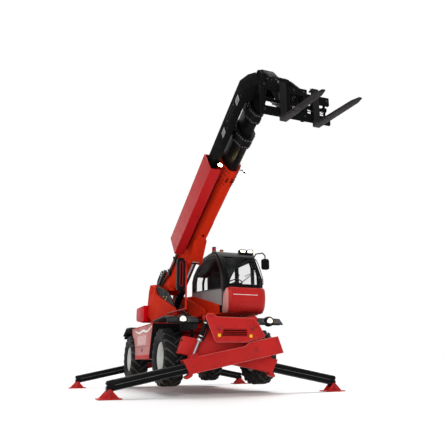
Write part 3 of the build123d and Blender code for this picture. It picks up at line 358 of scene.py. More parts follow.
RED_LENS = material("red_lens", (0.55, 0.004, 0.03), 0.12, 0.05, coat=0.4, grain=(90, 0.2))
AMBER_LENS = material("amber_lens", (0.8, 0.24, 0.01), 0.12, 0.05, coat=0.4, grain=(90, 0.2))
GLASS = pane("glass", (0.05, 0.06, 0.065), 0.06)
MIRROR = material("mirror_glass", (0.75, 0.78, 0.8), 0.04, 0.01, metal=1.0, grain=(5, 0.01))


# ---- CAD nodes: softened edges and materials ----
def smoothing():
    """Shades smooth except across sharp edges."""
    tree = bpy.data.node_groups.new("smooth_by_angle", "GeometryNodeTree")
    new = tree.nodes.new
    tree.interface.new_socket("Geometry", in_out="INPUT", socket_type="NodeSocketGeometry")
    tree.interface.new_socket("Geometry", in_out="OUTPUT", socket_type="NodeSocketGeometry")
    start, end = new("NodeGroupInput"), new("NodeGroupOutput")
    faces, edges = (new("GeometryNodeSetShadeSmooth") for _ in range(2))
    edges.domain = "EDGE"
    edges.inputs["Shade Smooth"].default_value = False
    angle, limit = new("GeometryNodeInputMeshEdgeAngle"), new("FunctionNodeCompare")
    limit.operation = "GREATER_THAN"
    limit.inputs[1].default_value = radians(30)
    for a, b in ((start.outputs[0], faces.inputs[0]), (faces.outputs[0], edges.inputs[0]),
            (angle.outputs[0], limit.inputs[0]), (limit.outputs[0], edges.inputs[1]),
            (edges.outputs[0], end.inputs[0])):
        tree.links.new(a, b)
    return tree


SMOOTH = smoothing()


def finish_node(node, mat, bevel):
    """Gives a CAD node its material, softened edges and smooth shading."""
    if "custom_normal" in node.data.attributes:
        node.data.attributes.remove(node.data.attributes["custom_normal"])
    node.data.materials.clear()
    node.data.materials.append(mat)
    weld = node.modifiers.new("weld", "WELD")
    weld.merge_threshold = 2e-5
    if bevel:
        soften(node, bevel, 40)
    node.modifiers.new("smooth", "NODES").node_group = SMOOTH


# node table: material, edge radius, starts of the names
FINISHES = [
    (DEEP_RED, 0.004, "chassis_frame"),
    (RED, 0.006, "stabiliser_frames"),
    (RED, 0.005, "side_bodies stabiliser_beam_"),
    (RED, 0.035, "cab_nose"),
    (RED, 0.003, "stabiliser_foot_"),
    # the hood door's red is lightened: painted light
    (SUNLIT_RED, 0.004, "engine_hood_door"),
    (ORANGE_RED, 0.005, "turret_frame"),
    (ORANGE_RED, 0.004, "boom_outer"),
    (BRIGHT_RED, 0.04, "counterweight"),
    (COVER_RED, 0.006, "boom_side_cover"),
    (BLACK, 0.008, "cab_shell"),
    (BLACK, 0.006, "cab_door"),
    (BLACK, 0.004, "axle_housings cab_fittings stabiliser_leg_"),
    (BLACK, 0.003, "boom_section_ lift_barrel tilt_barrel knuckle_"),
    (BLACK, 0.002, "stabiliser_barrel_"),
    (SATIN, 0.003, "boom_section_4 hose_tray fork_carriage"),
    (PLASTIC, 0.006, "fenders"),
    (PLASTIC, 0.01, "cab_interior"),
    (IRON, 0.004, "engine_block"),
    (GREY, 0.004, "forks"),
    (CHROME, 0, "lift_rod tilt_rod stabiliser_rod_"),
    (GLASS, 0, "cab_glass cab_door_glass"),
    (RUBBER, 0, "tyre_"),
    (RIM, 0.002, "rim_"),
]
finishes = {start: row[:2] for row in FINISHES for start in row[2].split()}
for name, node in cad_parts.items():
    finish_node(node, *finishes[max((start for start in finishes if name.startswith(start)), key=len)])


# ---- tyres and wheels ----
AXLE_X, TRACK_Y, HUB_Z = 1.563, 1.02, 0.73
LUGS, SLANT = 19, 1.45


def tyre(name, at):
    """Agricultural tread: bars from the middle to each shoulder, staggered."""
    half = [(0.305, 0.163), (0.325, 0.192), (0.345, 0.199), (0.35, 0.196), (0.37, 0.205), (0.42, 0.216),
        (0.455, 0.2195), (0.462, 0.2165), (0.5, 0.214), (0.53, 0.198), (0.546, 0.165), (0.549, 0.08)]
    form, lug_highlights = Form(), Form()
    form.lathe(half + [(0.55, 0)] + [(r, -w) for r, w in reversed(half)], at, LEFT, 76, ring=True)
    # bar table: across, outer and inner radius, half its thickness
    bar = [(-0.012, 0.583, 0.545, 0.022), (0.06, 0.585, 0.545, 0.024), (0.13, 0.583, 0.54, 0.028),
        (0.185, 0.574, 0.525, 0.032), (0.212, 0.545, 0.5, 0.033), (0.2195, 0.5, 0.475, 0.024)]
    n = len(bar)
    sides = [(0, 1, 2, 3), tuple(4 * n - 4 + i for i in range(4))]
    sides += [(4 * i + j, 4 * i + (j + 1) % 4, 4 * i + 4 + (j + 1) % 4, 4 * i + 4 + j) for i in range(n - 1)
        for j in range(4)]
    for k in range(LUGS):
        for s, first in ((-1, 0), (1, 0.5)):
            middle = 2 * pi * (k + first) / LUGS
            v = []
            for w, top, low, thick in bar:
                turn = middle + min(w, 0.2) * SLANT
                for r, wide in ((top, -0.8), (top, 0.8), (low, 1.25), (low, -1.25)):
                    a = turn + wide * thick / 0.57
                    v.append(at + Vector((cos(a) * r, s * w, sin(a) * r)))
            form.add(v, sides)
            # a lighter skin on each bar's top: a painted highlight
            lug_highlights.add([at + (v[4 * i + j] - at) * 1.0015 for i in range(n) for j in (0, 1)],
                [(2 * i, 2 * i + 1, 2 * i + 3, 2 * i + 2) for i in range(n - 1)])
    piece = form.done("tread_" + name, "wheel_" + name, RUBBER, bevel=0.004, sharp=40)
    lug_highlights.done("tread_tops_" + name, "wheel_" + name, LUG_HIGHLIGHT_RUBBER)
    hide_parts("tyre_" + name)


def hub(name, at, side):
    """Wheel nuts, planetary cover and its bolts on the rim's outer face."""
    out = LEFT * side
    cover = Form().lathe([(0.098, 0.068), (0.098, 0.085), (0.085, 0.098), (0.05, 0.104), (0.046, 0.118),
        (0.02, 0.121), (0, 0.121)], at, out, 40)
    cover.lathe([(0.15, 0.038), (0.148, 0.05), (0.118, 0.072), (0.1, 0.072)], at, out, 40)
    cover.done("hub_cover_" + name, "wheel_" + name, RIM)
    nuts = Form()
    # bolt circle table: how many, turn of the first, radius, height, size
    for count, first, r, h, size in ((10, 0, 0.195, 0.034, 0.014), (8, 0.5, 0.072, 0.1, 0.007)):
        nuts.bolts([at + Vector((cos(a) * r, side * h, sin(a) * r)) for a in around(count, first)], out,
            size)
    nuts.rod(at + Vector((0.245, side * 0.03, 0.02)), at + Vector((0.25, side * 0.075, 0.02)), 0.004, 10)
    nuts.done("wheel_nuts_" + name, "wheel_" + name, STEEL)


for name, end, side in (("front_right", 1, -1), ("front_left", 1, 1), ("rear_left", -1, 1),
        ("rear_right", -1, -1)):
    middle = Vector((end * AXLE_X, side * TRACK_Y, HUB_Z))
    tyre(name, middle)
    hub(name, middle, side)


# ---- lamps ----
HEADLAMP = [
    ("headlamp_", LIT, [(0.044, 0.004), (0.044, 0.014), (0.025, 0.021), (0, 0.022)]),
    ("headlamp_bowl_", BOWL, [(0.0725, -0.004), (0.0725, 0.009), (0.044, 0.014), (0.044, -0.004)]),
    ("headlamp_ring_", PLASTIC, [(0.0725, 0.01), (0.0725, 0.027), (0.078, 0.027), (0.078, 0.01)]),
]
for name, side in (("right", -1), ("left", 1)):
    for start, mat, profile in HEADLAMP:
        Form().lathe(profile, (2.35, side * 0.96, 1.44), AHEAD, 40, ring=mat != LIT).done(
            start + name, "chassis", mat)

lamps = Form()
for y in (0.75, 0.93):
    lamps.prism(panel(y - 0.06, y + 0.06, 3.09, 3.143, 0.02), "x", (1.506, 1.514))
lamps.done("roof_lamp_lenses", "turret", LIT, bevel=0.003)
for name, at, mat in (("red", (1.0, 0.22, 3.28), RED_LENS), ("amber", (0.88, 0.46, 3.255), AMBER_LENS)):
    Form().lathe([(0.0495, -0.118), (0.0495, -0.03), (0.044, -0.012), (0.03, 0.0), (0, 0.004)], at, UP,
        32).done(name + "_beacon_lens", "turret", mat)
    Form().lathe([(0.062, -0.128), (0.062, -0.12), (0.054, -0.116), (0.054, -0.128)], at, UP, 32,
        ring=True).done(name + "_beacon_collar", "turret", STEEL)


# ---- chassis and stabilisers ----
END_FACE, OUTER_PLANE, INNER_PLANE = 2.721, 2.6, 2.38
BEAM_TILT = radians(11.2)
PIVOT_Y, PIVOT_Z = -0.46, 0.84


def beam_point(side, along, across):
    """Across the machine and up, from a stabiliser beam's own line."""
    y = PIVOT_Y + along * cos(BEAM_TILT) + across * sin(BEAM_TILT)
    return side * y, PIVOT_Z - along * sin(BEAM_TILT) + across * cos(BEAM_TILT)


def end_plate(name, end):
    """Painted shade behind the grille, tow rings, bolts, reflectors and a painted highlight round the edge
    of a stabiliser frame's end plate.
    """
    face = end * END_FACE
    out = AHEAD * end
    back = end * (END_FACE - 0.03)
    grille = [(-0.268, 1.112), (0.272, 1.112), (0.254, 1.246), (-0.234, 1.246)]
    # a black sheet behind the grille: painted shade in its openings
    Form().prism([(end * y, z) for y, z in grille], "x", (back, back - end * 0.001)).done(
        name + "_grille_back", "chassis", PAINTED_SHADE)
    marks = Form()
    for y, z in ((-0.331, 1.12), (0.344, 1.112)):
        square = panel(y - 0.028, y + 0.028, z - 0.028, z + 0.028, 0.006, 2)
        marks.prism([(end * a, b) for a, b in square], "x", (face - end * 0.001, face + end * 0.005))
    marks.done(name + "_reflectors", "chassis", YELLOW if end > 0 else RED_LENS, bevel=0.0015)
    rings = Form()
    for y, z, r in ((0.383, 1.278, 0.04), (-0.338, 1.267, 0.034)):
        loop = [(face + end * (0.022 + 0.006 * cos(a)), end * y + r * cos(a), z - 0.012 + r * 1.15 * sin(a))
            for a in around(20)]
        rings.sweep(loop, 0.009, 10, closed=True)
        rings.boss((face, end * y, z), out, (0.03, 0.02), (0.008, 0.022, 0.028))
    rings.done(name + "_tow_rings", "chassis", PIN_RED, bevel=0.002)
    bolts = Form().bolts([(face, end * y, z) for y, z in ((-0.5, 1.36), (-0.41, 1.12), (-0.36, 1.03),
        (0.1, 1.02), (0.3, 1.4), (-0.2, 1.44), (0.48, 1.3), (0.6, 1.1), (0.02, 1.3), (-0.02, 1.44))], out,
        0.009)
    bolts.boss((face, end * -0.514, 1.47), out, (0.03, 0.018), (0.01, 0.018, 0.022))
    bolts.boss((face, end * 0.53, 1.076), out, (0.02, 0.012), (0.01, 0.018, 0.021))
    bolts.done(name + "_plate_bolts", "chassis", PIN_RED)
    # a lighter bead round the plate's outline: a painted highlight on its rounded edge
    outline = [(-0.602, 1.454), (-0.428, 1.032), (-0.38, 0.992), (0.25, 0.992), (0.34, 1.022), (0.64, 1.09),
        (0.655, 1.115), (0.522, 1.357), (0.413, 1.462), (-0.377, 1.474), (-0.44, 1.525), (-0.56, 1.53),
        (-0.605, 1.49)]
    Form().sweep([(face - end * 0.004, end * y, z) for y, z in outline], 0.0055, 8, closed=True).done(
        name + "_plate_edge", "chassis", HIGHLIGHT_RED)


end_plate("front", 1)
end_plate("rear", -1)


def stabiliser(name, plane, side, way):
    """Doubler, pins and bolts on a beam's outer wall, painted highlights along its edges, grey ridges of
    painted highlight along its leg, hoses to its cylinder.
    """
    out = AHEAD * way
    wall = plane + way * 0.095

    def at(along, across, x=wall):
        return Vector((x, *beam_point(side, along, across)))

    if abs(plane) == OUTER_PLANE:
        doubler = rounded([beam_point(side, *p) for p in ((-0.535, 0.16), (0.06, 0.16), (0.105, 0.1),
            (0.045, -0.11), (-0.02, -0.154), (-0.56, -0.154))], 0.02, 3)
        Form().sweep([(wall + way * 0.0005, *p) for p in doubler], 0.0025, 6, closed=True).done(
            "doubler_edge_" + name, "beam_" + name, DEEP_RED)
        Form().prism(doubler, "x", (wall - way * 0.001, wall + way * 0.0045)).done(
            "doubler_" + name, "beam_" + name, RED, bevel=0.0015)
        pins = Form()
        # pin table: along, across, radius, height
        for along, across, r, h in ((0, 0, 0.05, 0.012), (-0.49, 0.105, 0.022, 0.016),
                (-0.49, -0.1, 0.016, 0.014), (1.3, 0.145, 0.03, 0.012), (1.36, -0.04, 0.02, 0.01),
                (1.37, 0.07, 0.016, 0.008), (0.95, 0.06, 0.014, 0.008), (0.95, -0.11, 0.014, 0.008)):
            pins.boss(at(along, across), out, (r, r * 0.8), (-0.002, h * 0.7, h))
        pins.done("beam_pins_" + name, "beam_" + name, PIN_RED)
        # lighter beads along the beam's top and bottom edges: painted highlights
        edges = Form()
        for line in (((0.2, 0.117), (1.19, 0.117)), ((-0.54, 0.17), (0.12, 0.17), (0.2, 0.118)),
                ((-0.59, -0.164), (1.37, -0.164))):
            edges.sweep([at(*q, wall - way * 0.003) for q in line], 0.006, 8)
        edges.done("beam_edges_" + name, "beam_" + name, HIGHLIGHT_RED)
    # thin grey ridges along the leg: painted highlight lines
    ridge = Form()
    for sign in (-1, 1):
        x = plane + sign * 0.07
        for a, b in ((-0.047, -0.053), (0.038, 0.034), (-0.134, -0.138)):
            line = [beam_point(side, *q) for q in ((0.95, a), (2.82, a), (2.82, b), (0.95, b))]
            ridge.prism(line, "x", (x - sign * 0.001, x + sign * 0.003))
    ridge.done("leg_ridges_" + name, "leg_" + name, EDGE, bevel=0.001)
    caps = Form()
    for sign in (-1, 1):
        caps.boss(at(2.93, -0.159, plane + sign * 0.105), AHEAD * sign, (0.043, 0.036), (0, 0.006, 0.01))
    caps.done("foot_pin_caps_" + name, "foot_" + name, PIN_RED)

    top = Vector((plane, side * 0.514, 1.47))
    ear = at(1.287, 0.142, plane)
    run = (ear - top).normalized()
    across = Vector((0, -run.z, run.y))
    gland = Form().lathe([(0.051, 0.455), (0.051, 0.498), (0.044, 0.506), (0.0275, 0.506), (0.0275, 0.455)],
        top, run, ring=True)
    for h in (0.13, 0.4):
        gland.band(top, run, (0.0485, 0.0515), (h - 0.012, h + 0.012))
    gland.done("cylinder_bands_" + name, "stab_barrel_" + name, STEEL)
    pipes = Form()
    lay = across if across.y * side < 0 else -across
    for x in (-0.022, 0.022):
        start = top + run * 0.09 + lay * 0.048 + AHEAD * x
        pipes.sweep(curve([start + lay * a + run * b for a, b in ((0, 0), (0.028, 0.02), (0.034, 0.1),
            (0.034, 0.26), (0.024, 0.34), (0, 0.36 + x))], 5), 0.01, 10)
    pipes.lathe([(0.0, -0.045), (0.024, -0.045), (0.024, 0.045), (0.0, 0.045)],
        top + run * 0.115 + lay * 0.055, AHEAD, 6)
    pipes.done("cylinder_hoses_" + name, "stab_barrel_" + name, HOSE)


# stabiliser table: name, plane, side of its foot, outward way
for row in (("front_right", OUTER_PLANE, -1, 1), ("front_left", INNER_PLANE, 1, 1),
        ("rear_left", -OUTER_PLANE, 1, -1), ("rear_right", -INNER_PLANE, -1, -1)):
    stabiliser(*row)


def hood_side():
    """Sill, seams, latch, a plain swoosh and the pale field on the engine hood's door."""
    y = -1.2
    face = (y - 0.003, y + 0.002)
    sill = [(-0.818, 0.735), (0.575, 0.735), (0.604, 0.795), (-0.818, 0.795)]
    Form().prism(sill, "y", face).done("hood_sill", "hood_door", BRIGHT_RED, bevel=0.001)
    seam = Form().prism([(-0.865, 0.99), (0.69, 0.99), (0.693, 0.997), (-0.868, 0.997)], "y",
        (y - 0.0015, y + 0.001))
    seam.lathe([(0.0, 0.001), (0.03, 0.001), (0.03, 0.005), (0.024, 0.009), (0.0, 0.009)], (-0.1, y, 0.905),
        RIGHT, 24)
    seam.prism(panel(-0.135, -0.065, 0.86, 0.95, 0.012, 3), "y", (y - 0.003, y + 0.001))
    seam.done("hood_seam_and_latch", "hood_door", PLASTIC)
    field = rounded([(-0.62, 1.03), (0.22, 1.03), (0.3, 1.25), (-0.62, 1.25)], 0.02, 3)
    Form().prism(field, "y", (y - 0.0012, y + 0.001)).done("hood_pale_field", "hood_door", PALE_PRINT_AND_HIGHLIGHT)
    low = curve([(-0.86, 1.365), (-0.45, 1.3), (-0.05, 1.335), (0.35, 1.3), (0.79, 1.4)])
    high = curve([(0.8, 1.425), (0.35, 1.345), (-0.05, 1.385), (-0.45, 1.35), (-0.93, 1.405)])
    Form().prism(low + high, "y", (y - 0.0012, y + 0.001)).done("hood_swoosh", "hood_door", WHITE)
    Form().bolts([(x, y, z) for x, z in ((-1.05, 1.42), (0.72, 1.42), (0.6, 0.85), (-0.8, 0.85),
        (-1.0, 1.22))], RIGHT, 0.008).done("hood_bolts", "hood_door", STEEL)


hood_side()


def arch_liners():
    """Black sheets of painted shade on the side bodies' ends above the steered wheels, and inside the
    fenders.
    """
    form = Form()
    # sheet table: its end's lower and upper corner, outward way, y limits
    for (x0, z0), (x1, z1), (nx, nz), y in (((0.585, 0.712), (0.868, 1.47), (0.938, -0.347),
            (-1.196, -0.565)), ((0.585, 0.65), (0.818, 1.47), (0.962, -0.273), (0.565, 1.196))):
        form.prism([(x0, z0), (x1, z1), (x1 + nx * 0.004, z1 + nz * 0.004),
            (x0 + nx * 0.004, z0 + nz * 0.004)], "y", y)
    form.prism([(1.1, 1.265), (2.2, 1.265), (2.345, 1.3), (2.345, 1.395), (2.236, 1.48), (1.99, 1.512),
        (1.1, 1.488)], "y", (-0.652, -0.642))
    form.prism([(1.1, 1.265), (1.95, 1.265), (1.99, 1.3), (1.99, 1.512), (1.1, 1.488)], "y", (0.642, 0.652))
    form.done("arch_liners", "chassis", PLASTIC)


arch_liners()


def fender_trim():
    """Rolled lips along the fenders' edges, and the tail lamps."""
    lips = Form()
    front = [(1.08, 1.498), (1.99, 1.523), (2.235, 1.489), (2.375, 1.384)]
    rear = [(-1.325, 1.506), (-1.832, 1.518), (-2.222, 1.348)]
    for line in (front, rear):
        for side in (-1, 1):
            for y in (0.648, 1.242):
                lips.sweep([(x, side * y, z - 0.006) for x, z in line], 0.0155, 10)
    lips.done("fender_lips", "chassis", PLASTIC)
    tails, housings = Form(), Form()
    for side in (-1, 1):
        housings.box((-2.222, -2.15), sorted((side * 0.99, side * 1.22)), (1.255, 1.345))
        tails.prism(panel(side * 1.005, side * 1.205, 1.268, 1.33, 0.012, 3), "x", (-2.221, -2.229))
    housings.done("tail_lamp_housings", "chassis", PLASTIC, bevel=0.006)
    tails.done("tail_lamp_lenses", "chassis", RED_LENS, bevel=0.002)


fender_trim()


# ---- turret ----
def turret_details():
    """Boss, bolts and beads on the right side plate, hoses, the mirror's mast, the weight's plugs."""
    side_y = -0.78
    pivot_x, _, pivot_z = BOOM_PIVOT
    Form().lathe([(0.12, -0.002), (0.12, 0.012), (0.1, 0.018), (0.06, 0.018)], (pivot_x, side_y, pivot_z),
        RIGHT, 40).done("boom_pin_boss", "turret", ORANGE_RED)
    bolts = Form().bolts([(pivot_x + cos(a) * 0.088, side_y - 0.016, pivot_z + sin(a) * 0.088)
        for a in around(6)], RIGHT, 0.01)
    bolts.bolts([(x, side_y, z) for x, z in ((-1.28, 1.95), (-1.2, 1.78), (-0.7, 1.72), (-0.2, 1.7),
        (0.35, 1.7), (0.9, 1.7), (-1.3, 2.25), (0.75, 1.82), (0.25, 1.95))], RIGHT, 0.011)
    bolts.done("turret_bolts", "turret", ORANGE_RED)
    rib = Form()
    for edge in (((-0.72, 2.49), (-0.55, 2.285), (1.09, 1.785)), ((-1.13, 2.602), (-1.0, 2.588),
            (-0.76, 2.502))):
        rib.sweep([(x, side_y + 0.004, z) for x, z in edge], 0.012, 8)
    rib.done("turret_edge_bead", "turret", ORANGE_RED)
    # hoses from the slewing drum up to the boom's pivot, either side of the boom
    hoses = Form()
    for y, r, lift in ((-0.724, 0.016, 0.0), (-0.722, 0.018, 0.042), (-0.725, 0.014, -0.04),
            (-0.125, 0.016, 0.0), (-0.16, 0.018, 0.03), (-0.19, 0.014, -0.04)):
        hoses.sweep(curve([(0.3, y, 1.7), (-0.05, y, 1.78 + lift), (-0.45, y, 1.98 + lift),
            (-0.78, y, 2.2 + lift), (-0.98, y, 2.34 + lift * 0.5)]), r)
    # and a bundle of them along the right plate's sloping edge
    lane = -0.7235

    def slope(x, up):
        """Height of a point that far above the plate's sloping edge."""
        return 2.3 - (x + 0.56) * 0.301 + up

    for k in range(7):
        up = -0.03 + 0.04 * k
        line = [(x, lane, slope(x, up * f)) for x, f in ((0.86, 0.25), (0.62, 0.7), (0.3, 1), (-0.05, 1),
            (-0.35, 1), (-0.62, 0.8))]
        hoses.sweep(curve([(1.02, lane, 1.72)] + line + [(-0.86, lane, 2.4 + up * 0.4),
            (-0.97, lane, 2.42)], 5), 0.0195)
    hoses.done("turret_hoses", "turret", HOSE)
    ends = Form()
    for k, x in enumerate((0.12, 0.2, 0.02, 0.3)):
        z = slope(x, -0.03 + 0.04 * k)
        ends.rod((x - 0.035, lane, z + 0.0105), (x + 0.035, lane, z - 0.0105), 0.0225, 6)
    for y in (-0.125, -0.16):
        ends.rod((0.06, y, 1.8), (0.11, y, 1.785), 0.024, 6)
    ends.done("hose_fittings", "turret", BRASS)
    mast = [(1.13, 1.665), (2.44, 1.64), (2.44, 2.594), (2.38, 2.64), (2.3, 2.64)]
    Form().sweep([(x, -0.93, z) for x, z in mast], 0.0195).done("mirror_mast_sleeve", "turret", DEEP_RED)
    weight = Form()
    for y in (-0.6, 0.0, 0.6):
        weight.boss((-2.25, y, 1.95), -AHEAD, (0.035, 0.022), (0, 0.006, 0.01))
    weight.done("counterweight_plugs", "turret", BLACK)


turret_details()


# ---- cab ----
# nose table: height, how far forward, inset at its sides, radius of its corners in plan
NOSE = [
    (1.637, 1.87, 0.07, 0.1), (1.646, 1.925, 0.04, 0.15), (1.675, 1.972, 0.018, 0.18),
    (1.72, 2.016, 0.008, 0.19), (1.78, 2.046, 0.003, 0.19), (1.88, 2.063, 0.0, 0.18),
    (1.99, 2.0735, 0.0, 0.17), (2.09, 2.068, 0.0, 0.17), (2.145, 2.052, 0.003, 0.16),
    (2.178, 2.026, 0.01, 0.15), (2.193, 2.004, 0.022, 0.12),
]


def nose_row(z, front, inset, r, grow=0.0, corner=10):
    """The nose's outline at one height, from its right edge round to its left one."""
    y0, y1 = 0.08 + inset - grow, 1.08 - inset + grow
    back = min(1.8 + 0.2 * max(z - 1.665, 0) / 0.525, front - r - 0.005) - 0.01
    x = front + grow - r
    round_off = [(x + r * cos(a), y + r * sin(a), z) for y, first in ((y0 + r, -90), (y1 - r, 0))
        for a in (radians(first + 90 * k / corner) for k in range(corner + 1))]
    return [(back, y0, z)] + round_off + [(back, y1, z)]


def skin(rows, closed=True):
    """Faces between rows of equally many points."""
    n = len(rows[0])
    verts = [v for row in rows for v in row]
    last = n if closed else n - 1
    faces = [(i * n + j, i * n + (j + 1) % n, (i + 1) * n + (j + 1) % n, (i + 1) * n + j)
        for i in range(len(rows) - 1) for j in range(last)]
    if closed:
        faces += [tuple(range(n)), tuple(range((len(rows) - 1) * n, len(rows) * n))]
    return verts, faces


piece = Form().add(*skin([nose_row(*row) for row in NOSE])).done("nose_shell", "turret", RED, sharp=50)
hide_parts("cab_nose")
# a pale skin over the nose's right corner: a painted highlight
highlight_rows = [nose_row(*row, grow=0.0015)[1:8] for row in NOSE[1:-1]]
Form().add(*skin(highlight_rows, closed=False)).done("nose_pale_corner", "turret", PALE_PRINT_AND_HIGHLIGHT)


def cab_details():
    """Side panel, seals, wiper, nose trim, rails and mirrors."""
    right = 0.08
    grey = [(-0.196, 2.262), (-0.185, 2.33), (1.81, 2.172), (1.835, 2.1), (1.845, 1.8), (1.72, 1.825),
        (-0.02, 2.212)]
    Form().prism(grey, "y", (0.0745, 0.0805)).done("cab_side_panel", "turret", PANEL, bevel=0.0015)
    lines = Form().sweep([(0.42, 0.074, 2.292), (0.46, 0.074, 2.115)], 0.003, 6)
    lines.sweep([(-0.19, 0.0745, 2.33), (1.81, 0.0745, 2.172)], 0.006, 8).done(
        "cab_panel_seams", "turret", BLACK)
    # rubber seal and frame round the right window, and the pillar that follows the windscreen
    window = [(0.02, 2.32), (0.03, 2.56), (0.12, 2.72), (0.36, 2.87), (0.76, 2.965), (1.32, 2.985),
        (1.5, 2.89), (1.72, 2.59), (1.79, 2.4), (1.8, 2.19)]
    Form().sweep([(x, right + 0.004, z) for x, z in rounded(window, 0.08)], 0.01, 8, closed=True).done(
        "right_window_seal", "turret", BROWN)
    pillar = [(1.846, 1.81), (1.865, 2.19), (1.855, 2.4), (1.775, 2.6), (1.555, 2.905), (1.37, 3.015),
        (0.9, 3.015), (0.4, 2.93), (0.1, 2.8), (-0.06, 2.68), (-0.14, 2.5), (-0.14, 2.34)]
    Form().sweep(curve([(x, right - 0.001, z) for x, z in pillar], 4), 0.013, 8).done(
        "right_pillar_bead", "turret", BROWN)
    screen = [(1.9985, 2.255), (1.991, 2.4), (1.791, 2.756), (1.653, 2.918)]
    lip = [(x, 0.172, z) for x, z in screen] + [(x, 1.008, z) for x, z in screen[::-1]]
    Form().sweep(rounded(lip, 0.05, 3), 0.009, 8, closed=True).done("windscreen_seal", "turret", BLACK)
    wiper = Form()
    wiper.boss((1.996, 0.448, 2.266), (1, 0, 0.1), (0.022, 0.012), (-0.01, 0.02, 0.028), 20)
    # arms and blade: path, radius
    for path, r in (([(2.02, 0.448, 2.266), (2.022, 0.5, 2.318), (1.99, 0.724, 2.491)], 0.006),
            ([(2.012, 0.47, 2.262), (2.014, 0.52, 2.31), (1.985, 0.73, 2.475)], 0.004),
            ([(2.0, 0.56, 2.435), (1.975, 0.7, 2.498), (1.925, 0.86, 2.575)], 0.007)):
        wiper.sweep(path, r, 8)
    wiper.done("wiper", "turret", BLACK)
    # nose: white stripe, seams and handle
    Form().box((2.066, 2.0742), (0.255, 0.83), (2.016, 2.029)).done("nose_stripe", "turret", WHITE,
        bevel=0.001)
    seams = Form().sweep([(2.061, 0.415, 1.87), (2.046, 0.375, 1.78), (2.016, 0.345, 1.72),
        (1.972, 0.322, 1.675)], 0.0028, 6)
    seams.sweep([(2.061, 0.415, 1.87), (2.0615, 0.6, 1.874), (2.0615, 0.9, 1.874)], 0.0022, 6)
    seams.box((1.985, 2.022), (0.56, 0.8), (1.668, 1.682))
    seams.done("nose_seams", "turret", DEEP_RED)
    # grab rails and the left door's handle
    rails = Form()
    rails.sweep(curve([(0.36, y, z) for y, z in ((1.085, 1.95), (1.13, 1.98), (1.13, 2.3), (1.13, 2.6),
        (1.085, 2.63))], 5), 0.012, 10)
    rails.box((1.19, 1.27), (1.075, 1.094), (2.02, 2.16))
    rails.done("cab_rails", "turret", BLACK, bevel=0.003)
    glass = Form().prism(panel(-1.055, -0.915, 2.035, 2.675, 0.04, 3), "x", (2.199, 2.2035))
    glass.prism(panel(1.165, 1.315, 2.7, 2.91, 0.03, 3), "x", (1.639, 1.642))
    glass.done("mirror_glass", "turret", MIRROR)
    loop = panel(-1.015, -0.955, 2.11, 2.61, 0.03, 3)
    Form().sweep([(2.291, y, z) for y, z in loop], 0.005, 6, closed=True).done(
        "mirror_red_loop", "turret", RED)


cab_details()


def pad(name, centre, size, lean, crown):
    """A crowned cushion with a piped seam, leaning back by an angle."""
    w, d, h = (v / 2 for v in size)
    turn = Matrix.Translation(centre) @ Matrix.Rotation(lean, 4, "Y")
    n = 14
    verts, faces = [], []
    for sign in (1, -1):
        for i in range(n + 1):
            for j in range(n + 1):
                a, b = 2 * i / n - 1, 2 * j / n - 1
                pull = 1 - 0.035 * (1 - a * a) * abs(b) ** 4 - 0.035 * (1 - b * b) * abs(a) ** 4
                rise = (1 - abs(a) ** 3.2) ** 0.55 * (1 - abs(b) ** 3.2) ** 0.55
                groove = 0.01 * sum(2.7 ** -(((b - g) * 14) ** 2) for g in (-0.45, 0.45))
                top = h * (0.35 + 0.65 * rise) + (crown * rise - groove * rise if sign > 0 else 0)
                verts.append(turn @ Vector((a * w * pull, b * d * pull, sign * top)))
    m = (n + 1) ** 2
    for s in (0, 1):
        for i in range(n):
            for j in range(n):
                q = s * m + i * (n + 1) + j
                faces.append((q, q + 1, q + n + 2, q + n + 1))
    rim = list(range(n + 1)) + [i * (n + 1) + n for i in range(1, n + 1)]
    rim += [n * (n + 1) + i for i in range(n - 1, -1, -1)] + [i * (n + 1) for i in range(n - 1, 0, -1)]
    for k, q in enumerate(rim):
        q2 = rim[(k + 1) % len(rim)]
        faces.append((q, q2, q2 + m, q + m))
    piece = Form().add(verts, faces).done(name, "turret", FABRIC, sharp=60)
    soft = piece.modifiers.new("soft", "SUBSURF")
    soft.levels = soft.render_levels = 1
    Form().sweep([(verts[q] + verts[q + m]) / 2 for q in rim], 0.005, 6, closed=True).done(
        name + "_piping", "turret", BLACK)


pad("seat_cushion", (0.59, 0.58, 2.04), (0.56, 0.54, 0.15), 0.0, 0.012)
pad("seat_back", (0.275, 0.58, 2.33), (0.74, 0.52, 0.165), radians(-84), 0.012)
pad("head_rest", (0.205, 0.58, 2.755), (0.16, 0.3, 0.1), radians(-84), 0.008)


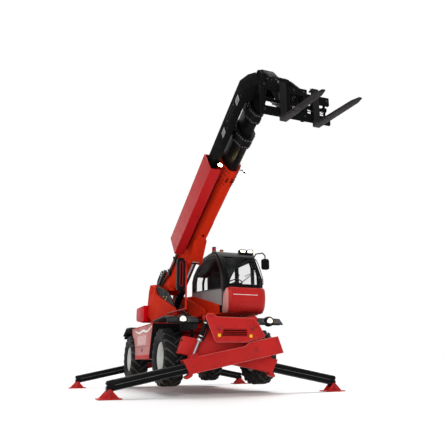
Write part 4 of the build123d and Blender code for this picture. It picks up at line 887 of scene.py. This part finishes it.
# ---- boom ----
def boom_details():
    """Cover, shield and knee bolts, work lamps, and the valve block with its hoses."""
    half, bottom = 0.208, -0.708
    OnBoom().box((3.716, 3.724), (-0.4612, -0.25), (-0.7012, -0.15)).done("cover_seam", "boom", DEEP_RED)
    # a black strip in the gap between the cover and the tube: painted shade
    OnBoom().prism([(-0.2535, -0.69), (-0.2085, -0.655), (-0.2085, -0.64), (-0.2535, -0.64)], "x",
        (2.6, 4.66)).done("cover_seal", "boom", PAINTED_SHADE)
    OnBoom().bolts([(s, -0.46, n) for s in (2.62, 3.1, 3.6, 3.86, 4.4, 4.86) for n in (-0.67, -0.19)],
        RIGHT, 0.009).done("cover_bolts", "boom", RED)
    shield = OnBoom()
    for s in (4.7, 4.8, 4.92, 5.02):
        shield.bolts([(s, y, bottom) for y in (-0.075, 0.075)], DOWN, 0.011)
        for t in (0.2, 0.5, 0.8):
            for side in (-1, 1):
                shield.bolt((s, side * (0.0865 + t * 0.1215), bottom + t * 0.203), (0, side * 0.86, -0.51),
                    0.011)
    for s in (4.7, 5.02):
        for n in (-0.45, -0.35, -0.25):
            for side in (-1, 1):
                shield.bolt((s, side * half, n), LEFT * side, 0.011)
    shield.done("shield_bolts", "boom", IRON)
    # black fills in the shield's slots: painted shade
    slots = OnBoom()
    for y in (-0.052, 0.052):
        for s in (4.775, 4.8, 4.825, 4.85, 4.875):
            slots.prism(panel(s - 0.008, s + 0.008, y - 0.026, y + 0.026, 0.006, 2), "z",
                (bottom - 0.0015, bottom + 0.001))
    slots.done("shield_louvres", "boom", PAINTED_SHADE)
    # a black disc: painted shade in the doubler's hole
    OnBoom().lathe([(0.03, -0.001), (0.03, 0.002), (0, 0.002)], (3.14, 0.0, -0.706), DOWN, 24).done(
        "doubler_hole", "boom", PAINTED_SHADE)
    knee = OnBoom()
    for side in (-1, 1):
        out = LEFT * side
        knee.boss((2.44, side * 0.152, -0.89), out, (0.042, 0.03), (0, 0.01, 0.014))
        knee.bolts([(s, side * 0.14, n) for s, n in ((2.35, -0.8), (2.6, -0.8), (2.78, -0.72))], out, 0.011)
    knee.done("knee_pins", "boom", ORANGE_RED)
    # lit work lamps on brackets at the outer tube's end
    way, n = (1, 0, -0.15), -0.62
    for name, side, s in (("right", -1, 5.1), ("left", 1, 5.06)):
        y = side * 0.27
        shell = OnBoom()
        shell.lathe([(0.012, -0.05), (0.036, -0.04), (0.05, 0.0), (0.052, 0.018), (0.046, 0.018),
            (0.044, 0.0)], (s, y, n), way, 28)
        shell.sweep(curve([(s - 0.03, y, n + 0.03), (s - 0.06, y - side * 0.02, n + 0.07),
            (s - 0.09, side * 0.205, n + 0.09)], 4), 0.009, 8)
        shell.done("work_lamp_" + name, "boom", BLACK)
        OnBoom().lathe([(0.046, 0.01), (0.03, 0.018), (0, 0.021)], (s, y, n), way, 28).done(
            "work_lamp_lens_" + name, "boom", LAMP)
    # valve block and its hoses on the boom's right side, and the hoses into the guard
    valves, hoses, clips = OnBoom(), OnBoom(), OnBoom()
    valves.box((0.42, 0.86), (-0.278, -0.2), (-0.15, -0.055))
    valves.box((0.9, 1.02), (-0.275, -0.2), (-0.17, -0.09))
    y = -0.243
    for k in range(5):
        s = 0.47 + k * 0.085
        valves.rod((s, y, -0.06), (s, y, -0.01), 0.022, 12)
        valves.rod((s, y, -0.012), (s + 0.01, y, 0.045), 0.01, 8)
        lane = -0.222 - 0.01 * k
        hoses.sweep(curve([(s, -0.24, -0.145), (s + 0.02, -0.24, -0.21), (s + 0.22, lane, -0.27 - 0.02 * k),
            (1.25, lane, -0.3 - 0.028 * k), (1.75, lane, -0.33 - 0.03 * k),
            (2.34, lane - 0.03, -0.34 - 0.03 * k)]), 0.0125, 10)
    valves.done("valve_block", "boom", IRON, bevel=0.004)
    for k in range(3):
        s = 0.5 + k * 0.13
        hoses.sweep(curve([(s, y, 0.035), (s - 0.05, y, 0.085), (s - 0.16, -0.25, 0.075),
            (s - 0.26, -0.255, 0.0), (s - 0.3, -0.255, -0.1)]), 0.011, 10)
    hoses.done("boom_hoses", "boom", HOSE)
    for s in (1.3, 1.8, 2.22):
        clips.box((s, s + 0.03), (-0.278, -0.198), (-0.475, -0.29))
    clips.done("hose_clamps", "boom", IRON, bevel=0.003)


def section_bolts(body, level, s_range):
    """Rows of bolts round a section's collar."""
    proud = 0.026
    half, top = 0.2 - 0.036 * level + proud, -0.128 - 0.036 * level + proud
    bottom = -0.7 + 0.02 * level - proud
    # the chamfer between bottom and side
    low_y, low_z = 0.12 - 0.018 * level + proud * 0.434, 0.2 - 0.018 * level + proud * 0.723
    form = OnBoom()
    for s in s_range:
        for side in (-1, 1):
            a = Vector((s, side * (half - low_y), bottom))
            b = Vector((s, side * half, bottom + low_z))
            form.bolts([a.lerp(b, t) for t in (0.15, 0.38, 0.62, 0.85)], (0, side * low_z, -low_y), 0.012)
            form.bolts([(s, side * half, n) for n in (-0.44, -0.34, -0.24)], LEFT * side, 0.012)
        for y in (-0.05, 0.0, 0.05):
            form.bolt((s, y, bottom), DOWN, 0.012)
            form.bolt((s, y, top), UP, 0.012)
    form.done("collar_bolts_" + body, body, NUT)


def head_details():
    """Label plates and bolts on the tray, and the head's bolts, pins, hoses and their guard."""
    tray_y = -0.38
    plates, marks, rim = OnBoom(), OnBoom(), OnBoom()
    for s, n in ((6.45, -0.42), (5.72, -0.42)):
        plates.prism(panel(s - 0.07, s + 0.07, n - 0.075, n + 0.075, 0.008, 2), "y",
            (tray_y - 0.0025, tray_y + 0.0005))
        for k in range(4):
            marks.box((s - 0.05, s + 0.045 - 0.018 * (k % 2)), (tray_y - 0.0032, tray_y - 0.002),
                (n - 0.055 + k * 0.032, n - 0.043 + k * 0.032))
    plates.done("tray_labels", "boom_section_2", LABEL)
    marks.done("tray_label_stripes", "boom_section_2", IRON)
    rim.sweep([(s, tray_y - 0.0005, n) for s, n in panel(5.945, 6.305, -0.405, -0.325, 0.02, 3)], 0.006, 8,
        closed=True)
    rim.bolts([(s, tray_y, n) for s in (5.15, 5.45, 5.9, 6.18, 6.6) for n in (-0.495, -0.215)], RIGHT,
        0.008)
    rim.done("tray_bolts", "boom_section_2", IRON)
    head = OnBoom()
    half = 0.11
    for s, n in ((6.8, -0.26), (6.95, -0.26), (7.03, -0.4), (6.8, -0.42), (7.08, -0.62), (6.8, -0.6),
            (7.16, -0.78)):
        for side in (-1, 1):
            head.bolt((s, side * half, n), LEFT * side, 0.014)
    for side in (-1, 1):
        head.boss((6.9, side * half, -0.38), LEFT * side, (0.075, 0.055), (-0.001, 0.01, 0.016), 32)
        head.boss((7.18, side * half, -0.928), LEFT * side, (0.05, 0.03), (-0.001, 0.008, 0.012), 32)
    head.done("head_bolts", "boom_section_4", IRON)
    guard = [(6.73, -0.6), (6.73, -0.215), (6.77, -0.205), (6.97, -0.205), (7.02, -0.26), (7.05, -0.42),
        (7.02, -0.6)]
    OnBoom().prism(rounded(guard, 0.03, 3), "y", (-0.158, -0.111)).done("head_hose_guard", "boom_section_4",
        SATIN, bevel=0.004)
    hoses = OnBoom()
    for k, y in enumerate((-0.128, -0.14, -0.152)):
        hoses.sweep(curve([(6.745, y, -0.39 - 0.03 * k), (6.8, y, -0.41 - 0.035 * k),
            (6.88, y, -0.46 - 0.04 * k), (6.98, y + 0.01, -0.62 - 0.03 * k), (6.9, y + 0.02, -0.76),
            (6.8, -0.118, -0.7)]), 0.012, 10)
    hoses.done("head_hoses", "boom_section_4", HOSE)


boom_details()
head_details()
section_bolts("boom_section_2", 1, (5.685, 5.835))
section_bolts("boom_section_3", 2, (6.235, 6.385))


# ---- carriage ----
def carriage_details():
    """Pipes, the fork shaft and its bars, bolts, hoses and fork locks, in the machine's frame."""
    pipes, bars, bolts, hoses, locks = (Form() for _ in range(5))
    # pipe table: x, height, both ends
    for x, z, y0, y1 in ((6.128, 4.535, -0.88, -0.3), (6.128, 4.3, -0.8, 0.1), (6.12, 4.27, -0.8, 0.1)):
        pipes.rod((x, y0, z), (x, y1, z), 0.008, 10)
    pipes.done("carriage_pipes", "carriage", STEEL)
    shaft_x, shaft_z = 6.118, 4.34
    bars.rod((shaft_x, -0.98, shaft_z), (shaft_x, 0.14, shaft_z), 0.026, 20)
    for y in (-0.93, -0.55, -0.12, 0.1):
        bars.band((shaft_x, y, shaft_z), LEFT, (0.026, 0.04), (-0.03, 0.03), 24)
        bars.box((6.11, 6.142), (y - 0.012, y + 0.012), (4.16, 4.6 if y < -0.2 else 4.5))
    bars.done("carriage_shaft", "carriage", SATIN)
    for y in (-0.95, -0.7, -0.45, -0.28, -0.05, 0.12):
        bolts.bolts([(6.18, y, 4.14), (6.18, y, 4.55 if y < -0.22 else 4.47)], AHEAD, 0.012)
    bolts.done("carriage_bolts", "carriage", IRON)
    for k in range(3):
        y = -0.3 - 0.03 * k
        hoses.sweep(curve([(6.02, y, 4.62 + 0.02 * k), (6.08, y - 0.02, 4.52), (6.105, y - 0.1, 4.42),
            (6.108, y - 0.22, 4.4 - 0.02 * k), (6.11, y - 0.34, 4.36)]), 0.01, 8)
    hoses.done("carriage_hoses", "carriage", HOSE)
    top = 4.615
    for y in (-0.66, -0.1):
        locks.rod((6.155, y, top - 0.004), (6.155, y, top + 0.03), 0.014, 12)
        locks.rod((6.155, y - 0.045, top + 0.03), (6.155, y + 0.045, top + 0.03), 0.008, 10)
    locks.done("fork_locks", "carriage", STEEL)


carriage_details()


# ---- floor, light and camera ----
def backdrop_rays(nt):
    """1 for rays that see the backdrop: the camera's, and those through glass or off gloss."""
    path = nt.nodes.new("ShaderNodeLightPath")
    total = path.outputs["Is Camera Ray"]
    for key in ("Is Glossy Ray", "Is Transmission Ray"):
        both = math_node(nt, "MAXIMUM")
        nt.links.new(total, both.inputs[0])
        nt.links.new(path.outputs[key], both.inputs[1])
        total = both.outputs[0]
    return total


def stage():
    """White floor, white world and three lamps."""
    half = 60
    mesh = bpy.data.meshes.new("floor")
    mesh.from_pydata([(-half, -half, 0), (half, -half, 0), (half, half, 0), (-half, half, 0)], [],
        [(0, 1, 2, 3)])
    floor = placed("floor", mesh)
    mat = bpy.data.materials.new("pale_floor")
    mat.use_nodes = True
    nt = mat.node_tree
    shader = put(nt.nodes["Principled BSDF"], {"Base Color": (0.88, 0.88, 0.88, 1), "Roughness": 0.9,
        "Specular IOR Level": 0.0, "Emission Color": (1, 1, 1, 1)})
    lift = put(math_node(nt, "MULTIPLY"), {1: 0.05})
    nt.links.new(backdrop_rays(nt), lift.inputs[0])
    nt.links.new(lift.outputs[0], shader.inputs["Emission Strength"])
    mesh.materials.append(mat)

    world = bpy.data.worlds.new("studio")
    bpy.context.scene.world = world
    world.use_nodes = True
    nt = world.node_tree
    sky = put(nt.nodes["Background"], {"Color": (1, 1, 1, 1)})
    soft = put(nt.nodes.new("ShaderNodeMix"), {2: 0.2, 3: 1.0})
    nt.links.new(backdrop_rays(nt), soft.inputs[0])
    nt.links.new(soft.outputs[0], sky.inputs["Strength"])

    # lamp table: name, way it comes from, width of the source in degrees, strength
    for name, way, width, power in (("key", (8, -4, 4), 50, 1.5), ("side", (-1, -9, 3), 50, 0.2),
            ("top", (-5, 2.5, 10), 48, 3.1)):
        lamp = bpy.data.lights.new(name, "SUN")
        lamp.angle = radians(width)
        lamp.energy = power
        holder = placed(name, lamp)
        holder.rotation_mode = "QUATERNION"
        holder.rotation_quaternion = (-Vector(way)).to_track_quat("-Z", "Y")


def camera():
    """The photo's camera, as solved from feet, wheels and cab."""
    yaw, pitch, roll = 2.7608, 0.2792, -0.0095
    ahead = Vector((cos(yaw) * cos(pitch), sin(yaw) * cos(pitch), sin(pitch)))
    right = Vector((sin(yaw), -cos(yaw), 0))
    up = right.cross(ahead)
    right, up = right * cos(roll) + up * sin(roll), up * cos(roll) - right * sin(roll)
    data = bpy.data.cameras.new("camera")
    data.sensor_width = 36
    data.lens = 40.76
    data.clip_end = 300
    holder = placed("camera", data)
    turn = Matrix((right, up, -ahead)).transposed()
    holder.matrix_world = Matrix.Translation((12.064 + SLEW_X, -3.983, 0.593)) @ turn.to_4x4()
    bpy.context.scene.camera = holder


stage()
camera()
bpy.context.scene.view_settings.view_transform = "Standard"
